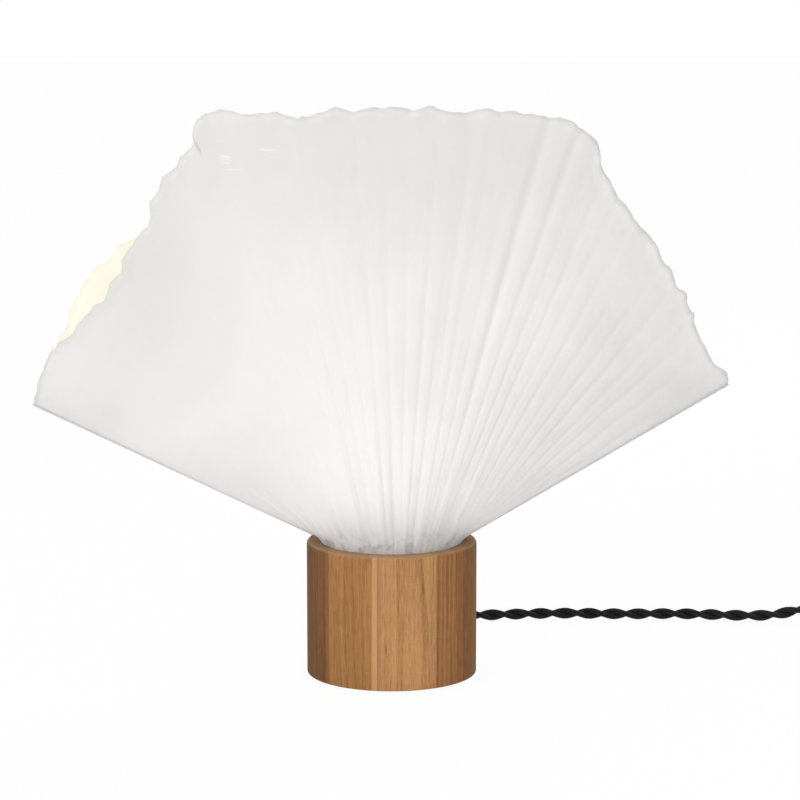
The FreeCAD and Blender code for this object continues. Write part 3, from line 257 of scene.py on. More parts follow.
# the paper's own cloudy tone, with painted shade and painted highlights laid over it
def paperColourAndPaintedLight(tree, where, places, u, v):
    cloud = noiseField(tree, where, 26, 3, 0.55)
    colour = colourMix(tree, fitRange(tree, cloud, 0.35, 0.7), paperSet["colour"], paperSet["warmColour"])

    # painted shade: greyer towards the rim, less so at both ends and at the right
    rimShade = times(tree, fitRange(tree, v, 0.50, 0.95), fitRange(tree, u, 0.62, 0.85, 1.0, 0.6))
    rimShade = times(tree, rimShade, fitRange(tree, u, 0.03, 0.20, 0.5, 1.0))
    colour = colourMix(tree, rimShade, colour, paperSet["rimShadeColour"], "MULTIPLY")
    # painted shade where the folds are packed at the neck
    packed = fitRange(tree, v, 0.07, 0.20, 1.0, 0.0)
    colour = colourMix(tree, packed, colour, paperSet["neckShadeColour"], "MULTIPLY")

    # painted shade in dents, only in the band of the neck that stands out of the base
    dents = fitRange(tree, noiseField(tree, where, 150, 3, 0.6), 0.50, 0.66)
    dents = times(tree, dents, fitRange(tree, v, 0.085, 0.125, 1.0, 0.0))
    dents = times(tree, dents, fitRange(tree, v, 0.045, 0.070))
    colour = colourMix(tree, times(tree, dents, 0.8), colour, paperSet["dentShadeColour"], "MULTIPLY")

    # painted highlights on a few short wrinkles near the upper left corner
    wrinkleHighlights = fitRange(tree, stretchedNoise(tree, (34, 34, 420), 1), 0.62, 0.68)
    for axis, (middle, reach) in enumerate(paperSet["wrinkleHighlightPlace"]):
        away = calc(tree, "ABSOLUTE", minus(tree, places[axis], middle))
        wrinkleHighlights = times(tree, wrinkleHighlights, fitRange(tree, away, reach * 0.6, reach, 1.0, 0.0))
    colour = colourMix(tree, times(tree, wrinkleHighlights, 0.7), colour, paperSet["wrinkleHighlightColour"])

    # painted shade along the curled torn edge
    raggedEdgeShade = timesPlus(tree, noiseField(tree, where, 120, 2, 0.5), 0.02, v)
    return colourMix(tree, fitRange(tree, raggedEdgeShade, 0.988, 1.003), colour, paperSet["tornEdgeShadeColour"])


def litEnd(tree, places):
    # the bulb's warm light on the inner side of the back panel, towards its left end
    lit = fitRange(tree, facing(tree, 1), -0.15, -0.35)
    lit = times(tree, lit, fitRange(tree, places[1], 0.002, 0.006))
    lit = times(tree, lit, fitRange(tree, places[0], paperSet["litFrom"], paperSet["litFull"]))
    lit = times(tree, lit, paperSet["litStrength"])
    inputs = {"Color": asColour(paperSet["litColour"]), "Strength": lit}
    return node(tree, "ShaderNodeEmission", inputs).outputs[0]


def paperSheet():
    material, tree = newMaterial("foldedPaper")
    where = objectPlace(tree)
    places = parted(tree, where)
    sheet = ownMap(tree, "UVMap")
    colour = paperColourAndPaintedLight(tree, where, places, sheet[0], sheet[1])
    fibre = noiseField(tree, where, 900, 3, 0.6)
    crease = noiseField(tree, where, 240, 4, 0.65)
    normal = bumped(tree, plus(tree, times(tree, fibre, 0.25), crease), 0.22, 0.0005)
    front = withNormal(tree, principled(tree, colour, paperSet["roughness"], Specular_IOR_Level=0.2), normal)
    through = {"Color": (*paperSet["throughColour"], 1), "Normal": normal}
    behind = node(tree, "ShaderNodeBsdfTranslucent", through).outputs[0]
    sheetShader = node(tree, "ShaderNodeMixShader", {0: paperSet["through"], 1: front, 2: behind}).outputs[0]
    whole = node(tree, "ShaderNodeAddShader", {0: sheetShader, 1: litEnd(tree, places)})
    finishMaterial(tree, whole.outputs[0])
    return material


pineSet = {
    "joints": (-0.037, -0.0081, 0.0264),  # glued joints between the staves, along x
    "jointSoft": (0.0022, 0.0002, 0.0002),
    "staves": ((0.20, 0.092, 0.036), (0.39, 0.19, 0.068), (0.55, 0.285, 0.12), (0.35, 0.165, 0.062)),
    "heart": (-0.02, 0.10),  # middle of the log that the first stave was cut from
    "heartShifts": ((0.035, 0.03), (0.02, -0.26), (-0.055, 0.20)),  # from each stave to the next
    "ringGap": 0.0024,
    "sway": 0.014,
    "lateWeight": 0.30,
    "grains": {  # stretch, detail, roughness and weight
        "streaks": ((520, 520, 9), 4, 0.65, 1.25),
        "fine": ((1700, 1700, 130), 3, 0.6, 1.3),
        "broad": ((60, 60, 5), 2, 0.5, 0.6),
        "rays": ((90, 90, 900), 2, 0.5, 0.22),
    },
    "youngEnd": (0.034, 0.042),  # the young wood of the last stave fades out here
    "youngGap": 0.0025,
    "youngBend": 0.0044,
    "youngWeight": -0.55,
    "dark": (0.30, 0.24, 0.20),
    "fleck": (0.16, 0.07, 0.03),
    "strip": (-0.0113, -0.0083),
    "stripColour": (0.60, 0.35, 0.15),
    "seamWide": 0.0017,
    "seamColour": (0.33, 0.17, 0.10),
    # painted shade: the outer staves darken towards the sides, where less light falls
    "sides": ((0.034, 0.047), (-0.049, -0.041)),  # the outer staves darken towards the sides
    "endGrain": (0.35, 0.24, 0.155),
    "poreColour": (0.20, 0.12, 0.07),
    "roughness": (0.56, 0.72),
}


def stepAt(tree, value, edge, soft=0.0002):
    return fitRange(tree, value, edge - soft, edge + soft)


def staveTones(tree, x):
    stave = pineSet["staves"][0]
    heartX, heartY = pineSet["heart"]
    for index, joint in enumerate(pineSet["joints"]):
        after = stepAt(tree, x, joint, pineSet["jointSoft"][index])
        stave = colourMix(tree, after, stave, pineSet["staves"][index + 1])
        heartX = timesPlus(tree, after, pineSet["heartShifts"][index][0], heartX)
        heartY = timesPlus(tree, after, pineSet["heartShifts"][index][1], heartY)
    return stave, heartX, heartY


def lateWood(tree, x, y, heartX, heartY):
    # dark latewood at the outer side of each growth ring
    sway = times(tree, minus(tree, stretchedNoise(tree, (22, 22, 4), 2), 0.5), pineSet["sway"])
    offX = plus(tree, minus(tree, x, heartX), sway)
    offY = plus(tree, minus(tree, y, heartY), sway)
    reach = calc(tree, "SQRT", plus(tree, times(tree, offX, offX), times(tree, offY, offY)))
    share = calc(tree, "FRACT", calc(tree, "DIVIDE", reach, pineSet["ringGap"]))
    return calc(tree, "POWER", share, 3.0)


def youngLines(tree, x):
    # narrow light lines beside the last joint
    low, high = pineSet["youngEnd"]
    young = times(tree, stepAt(tree, x, pineSet["joints"][2]), fitRange(tree, x, low, high, 1.0, 0.0))
    bend = timesPlus(tree, stretchedNoise(tree, (60, 60, 16), 2), pineSet["youngBend"], x)
    lines = calc(tree, "SINE", times(tree, bend, 2 * math.pi / pineSet["youngGap"]))
    lines = calc(tree, "POWER", timesPlus(tree, lines, 0.5, 0.5), 2.5)
    return times(tree, lines, young)


def jointLines(tree, x, colour):
    low, high = pineSet["strip"]
    strip = times(tree, stepAt(tree, x, low, 0.0009), minus(tree, 1.0, stepAt(tree, x, high)))
    colour = colourMix(tree, times(tree, strip, 0.6), colour, pineSet["stripColour"])
    seamEnd = stepAt(tree, x, high + pineSet["seamWide"], 0.0004)
    seam = times(tree, stepAt(tree, x, high), minus(tree, 1.0, seamEnd))
    colour = colourMix(tree, times(tree, seam, 0.65), colour, pineSet["seamColour"])
    glue = 0.0
    for joint in (pineSet["joints"][0], pineSet["joints"][2]):
        near = calc(tree, "ABSOLUTE", minus(tree, x, joint))
        glue = plus(tree, glue, fitRange(tree, near, 0.0002, 0.0007, 1.0, 0.0))
    return colourMix(tree, times(tree, glue, 0.35), colour, pineSet["fleck"])


def stainedPine():
    material, tree = newMaterial("stainedPine")
    x, y = parted(tree, objectPlace(tree))[:2]
    stave, heartX, heartY = staveTones(tree, x)
    darkness = timesPlus(tree, lateWood(tree, x, y, heartX, heartY), pineSet["lateWeight"], 0.10)
    fields = {}
    for name, (stretch, detail, rough, weight) in pineSet["grains"].items():
        fields[name] = stretchedNoise(tree, stretch, detail, rough)
        darkness = timesPlus(tree, minus(tree, fields[name], 0.5), weight, darkness)
    darkness = timesPlus(tree, youngLines(tree, x), pineSet["youngWeight"], darkness)
    grain = fitRange(tree, darkness, -0.25, 0.95, 0.0, 0.85, "LINEAR")
    colour = colourMix(tree, grain, stave, pineSet["dark"], "MULTIPLY")
    flecks = fitRange(tree, stretchedNoise(tree, (800, 800, 60), 1), 0.66, 0.74)
    colour = colourMix(tree, times(tree, flecks, 0.5), colour, pineSet["fleck"])
    colour = jointLines(tree, x, colour)
    # painted shade: the outer staves darker towards both sides, where less light falls
    (rightStart, rightEnd), (leftEnd, leftStart) = pineSet["sides"]
    left = fitRange(tree, x, leftEnd, leftStart, 1.0, 0.0)
    outer = plus(tree, fitRange(tree, x, rightStart, rightEnd), left)
    colour = colourMix(tree, times(tree, outer, 0.4), colour, pineSet["dark"], "MULTIPLY")

    # end grain where the surface looks up
    pores = fitRange(tree, stretchedNoise(tree, (1300, 1300, 1300), 2), 0.35, 0.7)
    endTone = colourMix(tree, times(tree, pores, 0.5), pineSet["endGrain"], pineSet["poreColour"])
    endTone = colourMix(tree, 0.35, endTone, colour)
    colour = colourMix(tree, fitRange(tree, facing(tree, 2), 0.25, 0.85), colour, endTone)
    height = timesPlus(tree, fields["streaks"], 0.5, times(tree, fields["fine"], 0.5))
    rough = fitRange(tree, fields["fine"], 0.2, 0.8, *pineSet["roughness"], "LINEAR")
    shader = principled(tree, colour, rough, Specular_IOR_Level=0.08)
    finishMaterial(tree, withNormal(tree, shader, bumped(tree, height, 0.35, 0.0004)))
    return material


textileSet = {
    "threadLength": 0.0016,
    "threadsRound": 8,
    # painted shade in the gaps between the threads
    "gapShadeColour": (0.002, 0.002, 0.0022),
    "threadColour": (0.009, 0.009, 0.0095),
    "roughness": 0.78,
}


def textileCover():
    material, tree = newMaterial("blackTextile")
    braid = ownMap(tree, "braid")
    lengthWise = times(tree, braid[0], 2 * math.pi / textileSet["threadLength"])
    roundWise = times(tree, braid[1], 2 * math.pi * textileSet["threadsRound"])
    one = calc(tree, "SINE", plus(tree, lengthWise, roundWise))
    two = calc(tree, "SINE", minus(tree, lengthWise, roundWise))
    weave = timesPlus(tree, times(tree, one, two), 0.5, 0.5)
    fuzz = noiseField(tree, objectPlace(tree), 2600, 3, 0.6)
    height = timesPlus(tree, fuzz, 0.5, weave)
    # painted shade: the low gaps of the weave darker than the threads
    colour = colourMix(tree, times(tree, height, 0.6), textileSet["gapShadeColour"], textileSet["threadColour"])
    shader = principled(
        tree, colour, textileSet["roughness"],
        Sheen_Weight=0.06, Sheen_Roughness=0.4, Specular_IOR_Level=0.25)
    finishMaterial(tree, withNormal(tree, shader, bumped(tree, height, 0.5, 0.0002)))
    return material


bulbSet = {
    "middle": 0.1026,
    "radius": 0.0225,
    "wall": 0.001,
    "neckDrop": 0.010,  # the globe ends this far below its middle
    "colours": ((0.76, 0.70, 0.58), (0.82, 0.77, 0.66)),
    "glow": 0.22,
    "glowColour": (1.0, 0.84, 0.55),
    "lightPlace": (0, 0, 0.139),
    "lightRadius": 0.012,
    "lightWatts": 0.036,
    "lightColour": (1.0, 0.97, 0.93),
}


def opalGlass():
    material, tree = newMaterial("opalGlass")
    where = objectPlace(tree)
    colour = colourMix(tree, noiseField(tree, where, 60, 2, 0.5), *bulbSet["colours"])
    shader = principled(tree, colour, 0.3, Emission_Strength=bulbSet["glow"])
    shader.inputs["Emission Color"].default_value = (*bulbSet["glowColour"], 1)
    normal = bumped(tree, noiseField(tree, where, 700, 2, 0.5), 0.05, 0.0002)
    finishMaterial(tree, withNormal(tree, shader, normal))
    return material


def grained(name, colour, other, rough, scale=400, stretch=(1, 1, 1), strength=0.15, **constants):
    material, tree = newMaterial(name)
    fine = stretchedNoise(tree, tuple(scale * way for way in stretch), 3, 0.6)
    broad = noiseField(tree, objectPlace(tree), 55, 2, 0.5)
    share = timesPlus(tree, fine, 0.5, times(tree, broad, 0.5))
    roughness = fitRange(tree, fine, 0.2, 0.8, rough - 0.06, rough + 0.06, "LINEAR")
    shader = principled(tree, colourMix(tree, share, colour, other), roughness, **constants)
    finishMaterial(tree, withNormal(tree, shader, bumped(tree, fine, strength, 0.0002)))
    return material


# name, two colours, roughness, and what else the finish needs
grainedFinishes = {
    "black_plastic": (
        "blackPlastic", (0.012, 0.012, 0.013), (0.022, 0.022, 0.024), 0.48,
        {"scale": 1500, "Specular_IOR_Level": 0.3}),
    "white_plastic": (
        "whitePlastic", (0.80, 0.79, 0.76), (0.86, 0.85, 0.82), 0.36, {"scale": 900, "strength": 0.08}),
    "zinc_steel": (
        "zincSteel", (0.52, 0.53, 0.54), (0.66, 0.66, 0.66), 0.34,
        {"scale": 260, "strength": 0.1, "Metallic": 1.0}),
    "ballast_steel": (
        "ballastSteel", (0.16, 0.155, 0.15), (0.27, 0.26, 0.25), 0.5,
        {"scale": 180, "strength": 0.3, "Metallic": 1.0}),
    "brass": (
        "turnedBrass", (0.60, 0.41, 0.16), (0.72, 0.52, 0.24), 0.28,
        {"scale": 500, "stretch": (1, 1, 6), "Metallic": 1.0}),
    "nickel_cap": (
        "nickelCap", (0.60, 0.58, 0.54), (0.72, 0.70, 0.66), 0.25,
        {"scale": 500, "stretch": (1, 1, 6), "Metallic": 1.0}),
    "plug_nickel": (
        "plugNickel", (0.62, 0.60, 0.57), (0.74, 0.72, 0.69), 0.22,
        {"scale": 500, "stretch": (1, 6, 6), "Metallic": 1.0}),
    "felt": (
        "blackFelt", (0.010, 0.010, 0.011), (0.030, 0.030, 0.032), 0.9,
        {"scale": 1800, "strength": 0.6, "Sheen_Weight": 0.4}),
    "circuit_board": ("circuitBoard", (0.72, 0.73, 0.71), (0.80, 0.81, 0.79), 0.4, {"scale": 700}),
    "lead_insulation": ("leadInsulation", (0.25, 0.13, 0.07), (0.32, 0.18, 0.10), 0.45, {"scale": 800}),
}
slotOf = {
    "stained_pine": ["wooden_base"],
    "felt": ["felt_pad"],
    "zinc_steel": [
        "base_plate", "plate_screws", "holder_tube", "tube_washer", "tube_nut", "switch_screws",
        "rocker_pin",
    ],
    "ballast_steel": ["ballast_ring"],
    "black_plastic": [
        "cord_grip", "grip_nut", "bulb_insulator", "coil_tie", "switch_lower_case", "switch_upper_case",
        "switch_rocker", "switch_reliefs", "plug_body", "plug_relief", "pin_sleeves",
    ],
    "white_plastic": ["holder_cap", "holder_insert", "holder_shell", "bulb_collar", "neck_ring"],
    "brass": ["terminal_screws", "screw_shell", "centre_contact", "switch_contacts"],
    "opal_glass": ["bulb_globe"],
    "nickel_cap": ["bulb_contact", "bulb_cap"],
    "circuit_board": ["led_board"],
    "white_paper": ["front_panel", "back_panel", "left_seam", "right_seam"],
    "black_textile": ["cord_inner_end", "cord_to_switch", "cord_to_coil", "cord_to_plug", "cord_coil"],
    "lead_insulation": ["lamp_leads"],
    "plug_nickel": ["plug_pins"],
}
finishes = {}


def makeFinishes():
    finishes["white_paper"] = paperSheet()
    finishes["stained_pine"] = stainedPine()
    finishes["black_textile"] = textileCover()
    finishes["opal_glass"] = opalGlass()
    for slotName, (name, colour, other, rough, more) in grainedFinishes.items():
        finishes[slotName] = grained(name, colour, other, rough, **more)
    print("finishes", len(finishes))


def dressNodes():
    for slotName, names in slotOf.items():
        for name in names:
            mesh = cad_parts[name].data
            if not mesh.materials:
                mesh.materials.append(finishes[slotName])
            for index in range(len(mesh.materials)):
                mesh.materials[index] = finishes[slotName]
    print("finishes on", len(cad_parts), "nodes")


def placePiece(name, mesh, body, replaced, slotName):
    piece = newPiece(name, mesh)
    if not mesh.materials:
        mesh.materials.append(finishes[slotName])
    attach(piece, body)
    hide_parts(*replaced)
    return piece


# cord: two covered cores twisted together; its routes have the same points as the solids
cordSet = {
    "wide": 0.007,
    "strandWide": 0.0035,
    "twistLength": 0.031,
    "ringSides": 12,
    "stepLength": 0.0013,
}
coilSet = {
    "middle": (0.376, 0.052),
    "turnRadii": (0.045, 0.038, 0.031, 0.0345, 0.0415),
    "layerOf": (0, 0, 0, 1, 1),
    "layerRise": 0.00606,
    "pointsPerTurn": 14,
    "changeShare": 0.3,
}
cordLow = 0.0035
toSwitchRoute = [
    (0, 0.072, 0.012),
    (0, 0.086, 0.012),
    (0.003, 0.101, 0.0088),
    (0.0125, 0.1155, 0.005),
    (0.027, 0.1245, cordLow),
    (0.046, 0.1285, cordLow),
    (0.070, 0.131, cordLow),
    (0.095, 0.1345, cordLow),
    (0.120, 0.135, cordLow),
    (0.146, 0.1325, cordLow),
    (0.182, 0.134, cordLow),
    (0.207, 0.1305, cordLow),
    (0.226, 0.128, cordLow),
    (0.243, 0.1272, 0.0042),
    (0.260, 0.127, 0.0085),
    (0.275, 0.127, 0.0085),
]
toCoilRoute = [
    (0.375, 0.127, 0.0085),
    (0.390, 0.127, 0.0085),
    (0.4035, 0.1216, 0.0064),
    (0.4135, 0.1113, cordLow),
    (0.4195, 0.0992, cordLow),
    (0.422, 0.087, cordLow),
    (0.421, 0.072, cordLow),
]
toPlugRoute = [
    (0.4186, 0.0342, 0.0077),
    (0.4163, 0.0173, 0.0046),
    (0.4087, 0.0032, cordLow),
    (0.3973, -0.007, cordLow),
    (0.3836, -0.0127, 0.0047),
    (0.3688, -0.0135, 0.00685),
    (0.360, -0.0135, 0.00685),
]


def coilTurns():
    points = []
    each = coilSet["pointsPerTurn"]
    radii = coilSet["turnRadii"]
    layers = coilSet["layerOf"]
    reach = 8 / (6 + 2 * math.cos(2 * math.pi / each))  # the spline runs a little inside its points
    for number in range(each * len(radii)):
        turn = number // each
        share = number / each - turn
        change = smoothStep(1 - coilSet["changeShare"], 1, share)
        after = min(turn + 1, len(radii) - 1)
        radius = mix(radii[turn], radii[after], change) * reach
        high = cordLow + coilSet["layerRise"] * mix(layers[turn], layers[after], change)
        around = -2 * math.pi * number / each
        points.append((
            coilSet["middle"][0] + radius * math.cos(around),
            coilSet["middle"][1] + radius * math.sin(around),
            high,
        ))
    return points


def splinePoints(name, route):
    data = bpy.data.curves.new(name, "CURVE")
    data.dimensions = "3D"
    data.resolution_u = 16
    spline = data.splines.new("NURBS")
    spline.points.add(len(route) - 1)
    for point, place in zip(spline.points, route):
        point.co = (*place, 1)
    spline.order_u = 3
    spline.use_endpoint_u = True
    guide = newPiece(name, data)
    flat = bpy.data.meshes.new_from_object(guide)
    points = [vertex.co.copy() for vertex in flat.vertices]
    bpy.data.objects.remove(guide)
    bpy.data.curves.remove(data)
    bpy.data.meshes.remove(flat)
    return points


def evenPoints(points, step):
    lengths = [0.0]
    for here, after in zip(points, points[1:]):
        lengths.append(lengths[-1] + (after - here).length)
    count = max(2, round(lengths[-1] / step))
    even = []
    number = 0
    for index in range(count + 1):
        target = lengths[-1] * index / count
        while number < len(points) - 2 and lengths[number + 1] < target:
            number += 1
        span = lengths[number + 1] - lengths[number]
        even.append(points[number].lerp(points[number + 1], (target - lengths[number]) / span))
    return even, lengths[-1]


def crossFrames(points):
    # two directions across the path at each of its points, without a twist of their own
    before = [points[0]] + points[:-1]
    after = points[1:] + [points[-1]]
    ways = [(there - here).normalized() for here, there in zip(before, after)]
    side = Vector((0, 0, 1)).cross(ways[0]).normalized()
    frames = []
    for way in ways:
        side = (side - way * side.dot(way)).normalized()
        frames.append((side.copy(), way.cross(side)))
    return frames


def turned(frameAt, angle):
    return frameAt[0] * math.cos(angle) + frameAt[1] * math.sin(angle)


def markBraid(mesh, marks):
    # the braid's map: metres along the cord, and one turn round the core
    layer = mesh.uv_layers.new(name="braid")
    for face in mesh.polygons:
        corners = [mesh.loops[index].vertex_index for index in face.loop_indices]
        turns = [marks[corner][1] for corner in corners]
        wrap = len(corners) == 4 and max(turns) - min(turns) > 0.5
        for index, corner in zip(face.loop_indices, corners):
            along, around = marks[corner]
            layer.data[index].uv = (along, around + 1 if wrap and around < 0.5 else around)


def twistedCord(name, route, replaced):
    points, length = evenPoints(splinePoints(name + "Guide", route), cordSet["stepLength"])
    frames = crossFrames(points)
    radius = cordSet["strandWide"] / 2
    sides = cordSet["ringSides"]
    step = length / (len(points) - 1)
    vertices = []
    faces = []
    marks = []  # one (along, around) per vertex
    for strand in range(2):
        start = len(vertices)
        for index, point in enumerate(points):
            twist = 2 * math.pi * index * step / cordSet["twistLength"] + strand * math.pi
            centre = point + turned(frames[index], twist) * radius
            for corner in range(sides):
                spoke = turned(frames[index], 2 * math.pi * corner / sides)
                vertices.append(centre + spoke * radius)
                marks.append((index * step, corner / sides))
        faces += tubeFaces(start, len(points) - 1, sides)
    mesh = meshFrom(name, vertices, faces)
    markBraid(mesh, marks)
    cord = placePiece(name, mesh, "base", replaced, "black_textile")
    return cord, points, length


def makeCords():
    first, firstPath, firstLength = twistedCord("cordToSwitch", toSwitchRoute, ["cord_to_switch"])
    route = toCoilRoute + coilTurns() + toPlugRoute
    second, secondPath, secondLength = twistedCord(
        "cordToPlug", route, ["cord_to_coil", "cord_coil", "cord_to_plug"])
    print("cords", round(firstLength, 3), round(secondLength, 3))


# pleated shade: a grid laid between the neck circle and the torn rim, folded along its normal
shadeSet = {
    "pleats": 38,
    "rows": 64,
    "neckRadius": 0.0411,
    "neckHeight": 0.0807,
    "lowRadius": 0.0382,
    "lowHeight": 0.0625,
    "lowShare": 0.07,  # share of the sheet's length that goes down into the base
    "bulgePower": 0.8,
    "neckFold": 0.0007,
    "rimFold": 0.00035,
    "scallop": 0.0006,
    "crumple": 0.0020,
    "neckCrumple": 0.0056,
    "paperThick": 0.00035,
    "flat": (0.646, 0.29),
    "flatArea": 0.10,
}
foldSet = {
    "gridPerPleat": 8.0,
    "rimEven": 0.036,  # below its edge the sheet follows the rim evened out over this share
    "rimWeights": ((-1.0, 0.12), (-0.5, 0.23), (0.0, 0.30), (0.5, 0.23), (1.0, 0.12)),
    "raggedFrom": 0.84,
    "wrinkles": (60.0, 16.0),  # counts across and along the sheet
    "tufts": (30.0, 45.0),
    "swells": (7.0, 3.5),
    "swellDeep": 0.008,
    "gathers": 20.0,
    "gatherDeep": 0.007,
    "curlDeep": 0.006,
    # the deepest folds: place across, width, depth, and where along the sheet they start
    "deepFolds": ((0.668, 0.0065, 0.0013, 0.25), (0.700, 0.005, 0.0010, 0.55), (0.60, 0.006, 0.0007, 0.2)),
}
frontRim = [
    (-0.2095, 0.1605), (-0.205, 0.1765), (-0.2, 0.1895), (-0.192, 0.201), (-0.1855, 0.2045),
    (-0.1705, 0.2235), (-0.1645, 0.226), (-0.1605, 0.237), (-0.154, 0.243), (-0.1525, 0.2505),
    (-0.149, 0.2565), (-0.145, 0.264), (-0.1375, 0.2705), (-0.1355, 0.277), (-0.136, 0.2845),
    (-0.131, 0.291), (-0.1285, 0.2995), (-0.121, 0.3045), (-0.1185, 0.311), (-0.1115, 0.316),
    (-0.109, 0.32), (-0.111, 0.3265), (-0.109, 0.331), (-0.1035, 0.3355), (-0.096, 0.338),
    (-0.0785, 0.335), (-0.064, 0.337), (-0.056, 0.3335), (-0.0455, 0.334), (-0.0325, 0.3395),
    (-0.021, 0.337), (-0.0105, 0.339), (0.004, 0.3395), (0.013, 0.3375), (0.0225, 0.34),
    (0.0325, 0.336), (0.0435, 0.3365), (0.0535, 0.3385), (0.061, 0.336), (0.0685, 0.337),
    (0.088, 0.3325), (0.0955, 0.333), (0.103, 0.3295), (0.1165, 0.3185), (0.118, 0.306),
    (0.127, 0.2895), (0.1375, 0.2755), (0.141, 0.269), (0.15, 0.2615), (0.1535, 0.2515),
    (0.1595, 0.2445), (0.163, 0.2355), (0.1695, 0.2295), (0.1695, 0.2235), (0.174, 0.218),
    (0.1735, 0.213), (0.1865, 0.1875), (0.195, 0.1815), (0.1965, 0.1725),
]
backRim = [
    (-0.2095, 0.1605), (-0.201, 0.188), (-0.190, 0.208), (-0.1855, 0.222), (-0.175, 0.238),
    (-0.153, 0.254), (-0.127, 0.281), (-0.107, 0.309), (-0.096, 0.320), (-0.040, 0.3245),
    (0.040, 0.325), (0.090, 0.319), (0.112, 0.303), (0.140, 0.264), (0.166, 0.220),
    (0.184, 0.187), (0.1965, 0.1725),
]
panels = (
    {"name": "frontPanel", "node": "front_panel", "rim": frontRim, "side": -1.0, "bulge": 0.062,
     "torn": 0.003, "seed": 4.0},
    {"name": "backPanel", "node": "back_panel", "rim": backRim, "side": 1.0, "bulge": 0.056,
     "torn": 0.009, "seed": 9.0},
)


def lineNoise(tree, u, count, seed, offset):
    where = joined(tree, times(tree, u, count), seed, offset)
    return minus(tree, noiseField(tree, where, 1.0, 1.0), 0.5)


def sheetNoise(tree, u, v, seed, counts, detail=3.0, rough=0.6):
    where = joined(tree, times(tree, u, counts[0]), times(tree, v, counts[1]), seed)
    return noiseField(tree, where, 1.0, detail, rough)


def storeField(tree, geometry, name, value, dataType, domain):
    made = tree.nodes.new("GeometryNodeStoreNamedAttribute")
    made.data_type = dataType
    made.domain = domain
    made.inputs["Name"].default_value = name
    tree.links.new(geometry, made.inputs["Geometry"])
    target = [socket for socket in made.inputs if socket.name == "Value" and socket.enabled][0]
    tree.links.new(value, target)
    return made.outputs[0]


# the tree's numbers; the values of the same names above fill them
pleatNumbers = (
    "Pleats", "Rows", "Side", "Bulge", "Bulge Power", "Neck Radius", "Neck Height", "Low Radius",
    "Low Height", "Low Share", "Neck Fold", "Rim Fold", "Scallop", "Crumple", "Neck Crumple", "Torn", "Seed",
)


def pleatValues(panelSet):
    known = {**shadeSet, **panelSet}
    return {name: known[name[0].lower() + name[1:].replace(" ", "")] for name in pleatNumbers}


def addInput(tree, name, kind):
    return tree.interface.new_socket(name, in_out="INPUT", socket_type="NodeSocket" + kind)


def pleatInputs(tree):
    addInput(tree, "Geometry", "Geometry")
    addInput(tree, "Rim", "Object")
    addInput(tree, "Paper", "Material")
    for name, value in pleatValues(panels[0]).items():
        addInput(tree, name, "Int" if isinstance(value, int) else "Float").default_value = value
    tree.interface.new_socket("Geometry", in_out="OUTPUT", socket_type="NodeSocketGeometry")
    return node(tree, "NodeGroupInput").outputs


def foldField(tree, given, u):
    # 0 between the folds and 1 in the bottom of each, unevenly spaced
    shake = lineNoise(tree, u, 14.0, given["Seed"], 1.0)
    count = timesPlus(tree, u, given["Pleats"], times(tree, shake, 0.5))
    ramp = times(tree, calc(tree, "PINGPONG", count, 0.5), 2.0)
    return fitRange(tree, ramp, 0.45, 1.0)


def rimPoint(tree, curve, factor):
    inputs = {"Curves": curve, "Factor": factor}
    made = node(tree, "GeometryNodeSampleCurve", inputs, mode="FACTOR", use_all_curves=True)
    return made.outputs["Position"]


def rimLine(tree, given, u, v):
    shape = node(tree, "GeometryNodeObjectInfo", {"Object": given["Rim"]}, transform_space="ORIGINAL")
    curve = shape.outputs["Geometry"]
    toEnd = calc(tree, "MINIMUM", u, minus(tree, 1.0, u))
    reach = calc(tree, "MINIMUM", 1.0, calc(tree, "DIVIDE", toEnd, foldSet["rimEven"]))
    even = (0.0, 0.0, 0.0)
    for part, weight in foldSet["rimWeights"]:
        beside = rimPoint(tree, curve, timesPlus(tree, reach, part * foldSet["rimEven"], u))
        even = vec(tree, "ADD", even, vec(tree, "SCALE", beside, weight))
    nearEdge = fitRange(tree, v, foldSet["raggedFrom"], 1.0)
    return placeMix(tree, nearEdge, even, rimPoint(tree, curve, u))


def ringPoint(tree, away, radius, height):
    return vec(tree, "ADD", vec(tree, "SCALE", away, radius), joined(tree, 0.0, 0.0, height))


def smoothPlace(tree, given, u, v, fold):
    # where the sheet lies, without its folds, and how far up it each point is
    seed = given["Seed"]
    turn = times(tree, u, math.pi)
    roundOut = calc(tree, "MAXIMUM", calc(tree, "SINE", turn), 0.0)
    awayX = times(tree, calc(tree, "COSINE", turn), -1.0)
    away = joined(tree, awayX, times(tree, roundOut, given["Side"]), 0.0)
    out = times(tree, calc(tree, "POWER", roundOut, given["Bulge Power"]), given["Bulge"])
    bulge = joined(tree, 0.0, times(tree, out, given["Side"]), 0.0)
    rim = vec(tree, "ADD", rimLine(tree, given, u, v), bulge)
    neck = ringPoint(tree, away, given["Neck Radius"], given["Neck Height"])
    low = ringPoint(tree, away, given["Low Radius"], given["Low Height"])

    lowPart = fitRange(tree, v, 0.0, given["Low Share"], 0.0, 1.0, "LINEAR")
    upPart = fitRange(tree, v, given["Low Share"], 1.0, 0.0, 1.0, "LINEAR")
    torn = times(tree, lineNoise(tree, u, 46.0, seed, 3.0), given["Torn"])
    frayed = times(tree, lineNoise(tree, u, 130.0, seed, 5.0), times(tree, given["Torn"], 0.4))
    lack = plus(tree, times(tree, fold, given["Scallop"]), plus(tree, torn, frayed))
    length = vec(tree, "DISTANCE", neck, rim)
    upPart = times(tree, upPart, minus(tree, 1.0, calc(tree, "DIVIDE", lack, length)))
    under = placeMix(tree, lowPart, low, neck)
    way = vec(tree, "SUBTRACT", rim, neck)
    return vec(tree, "ADD", under, vec(tree, "SCALE", way, upPart)), upPart


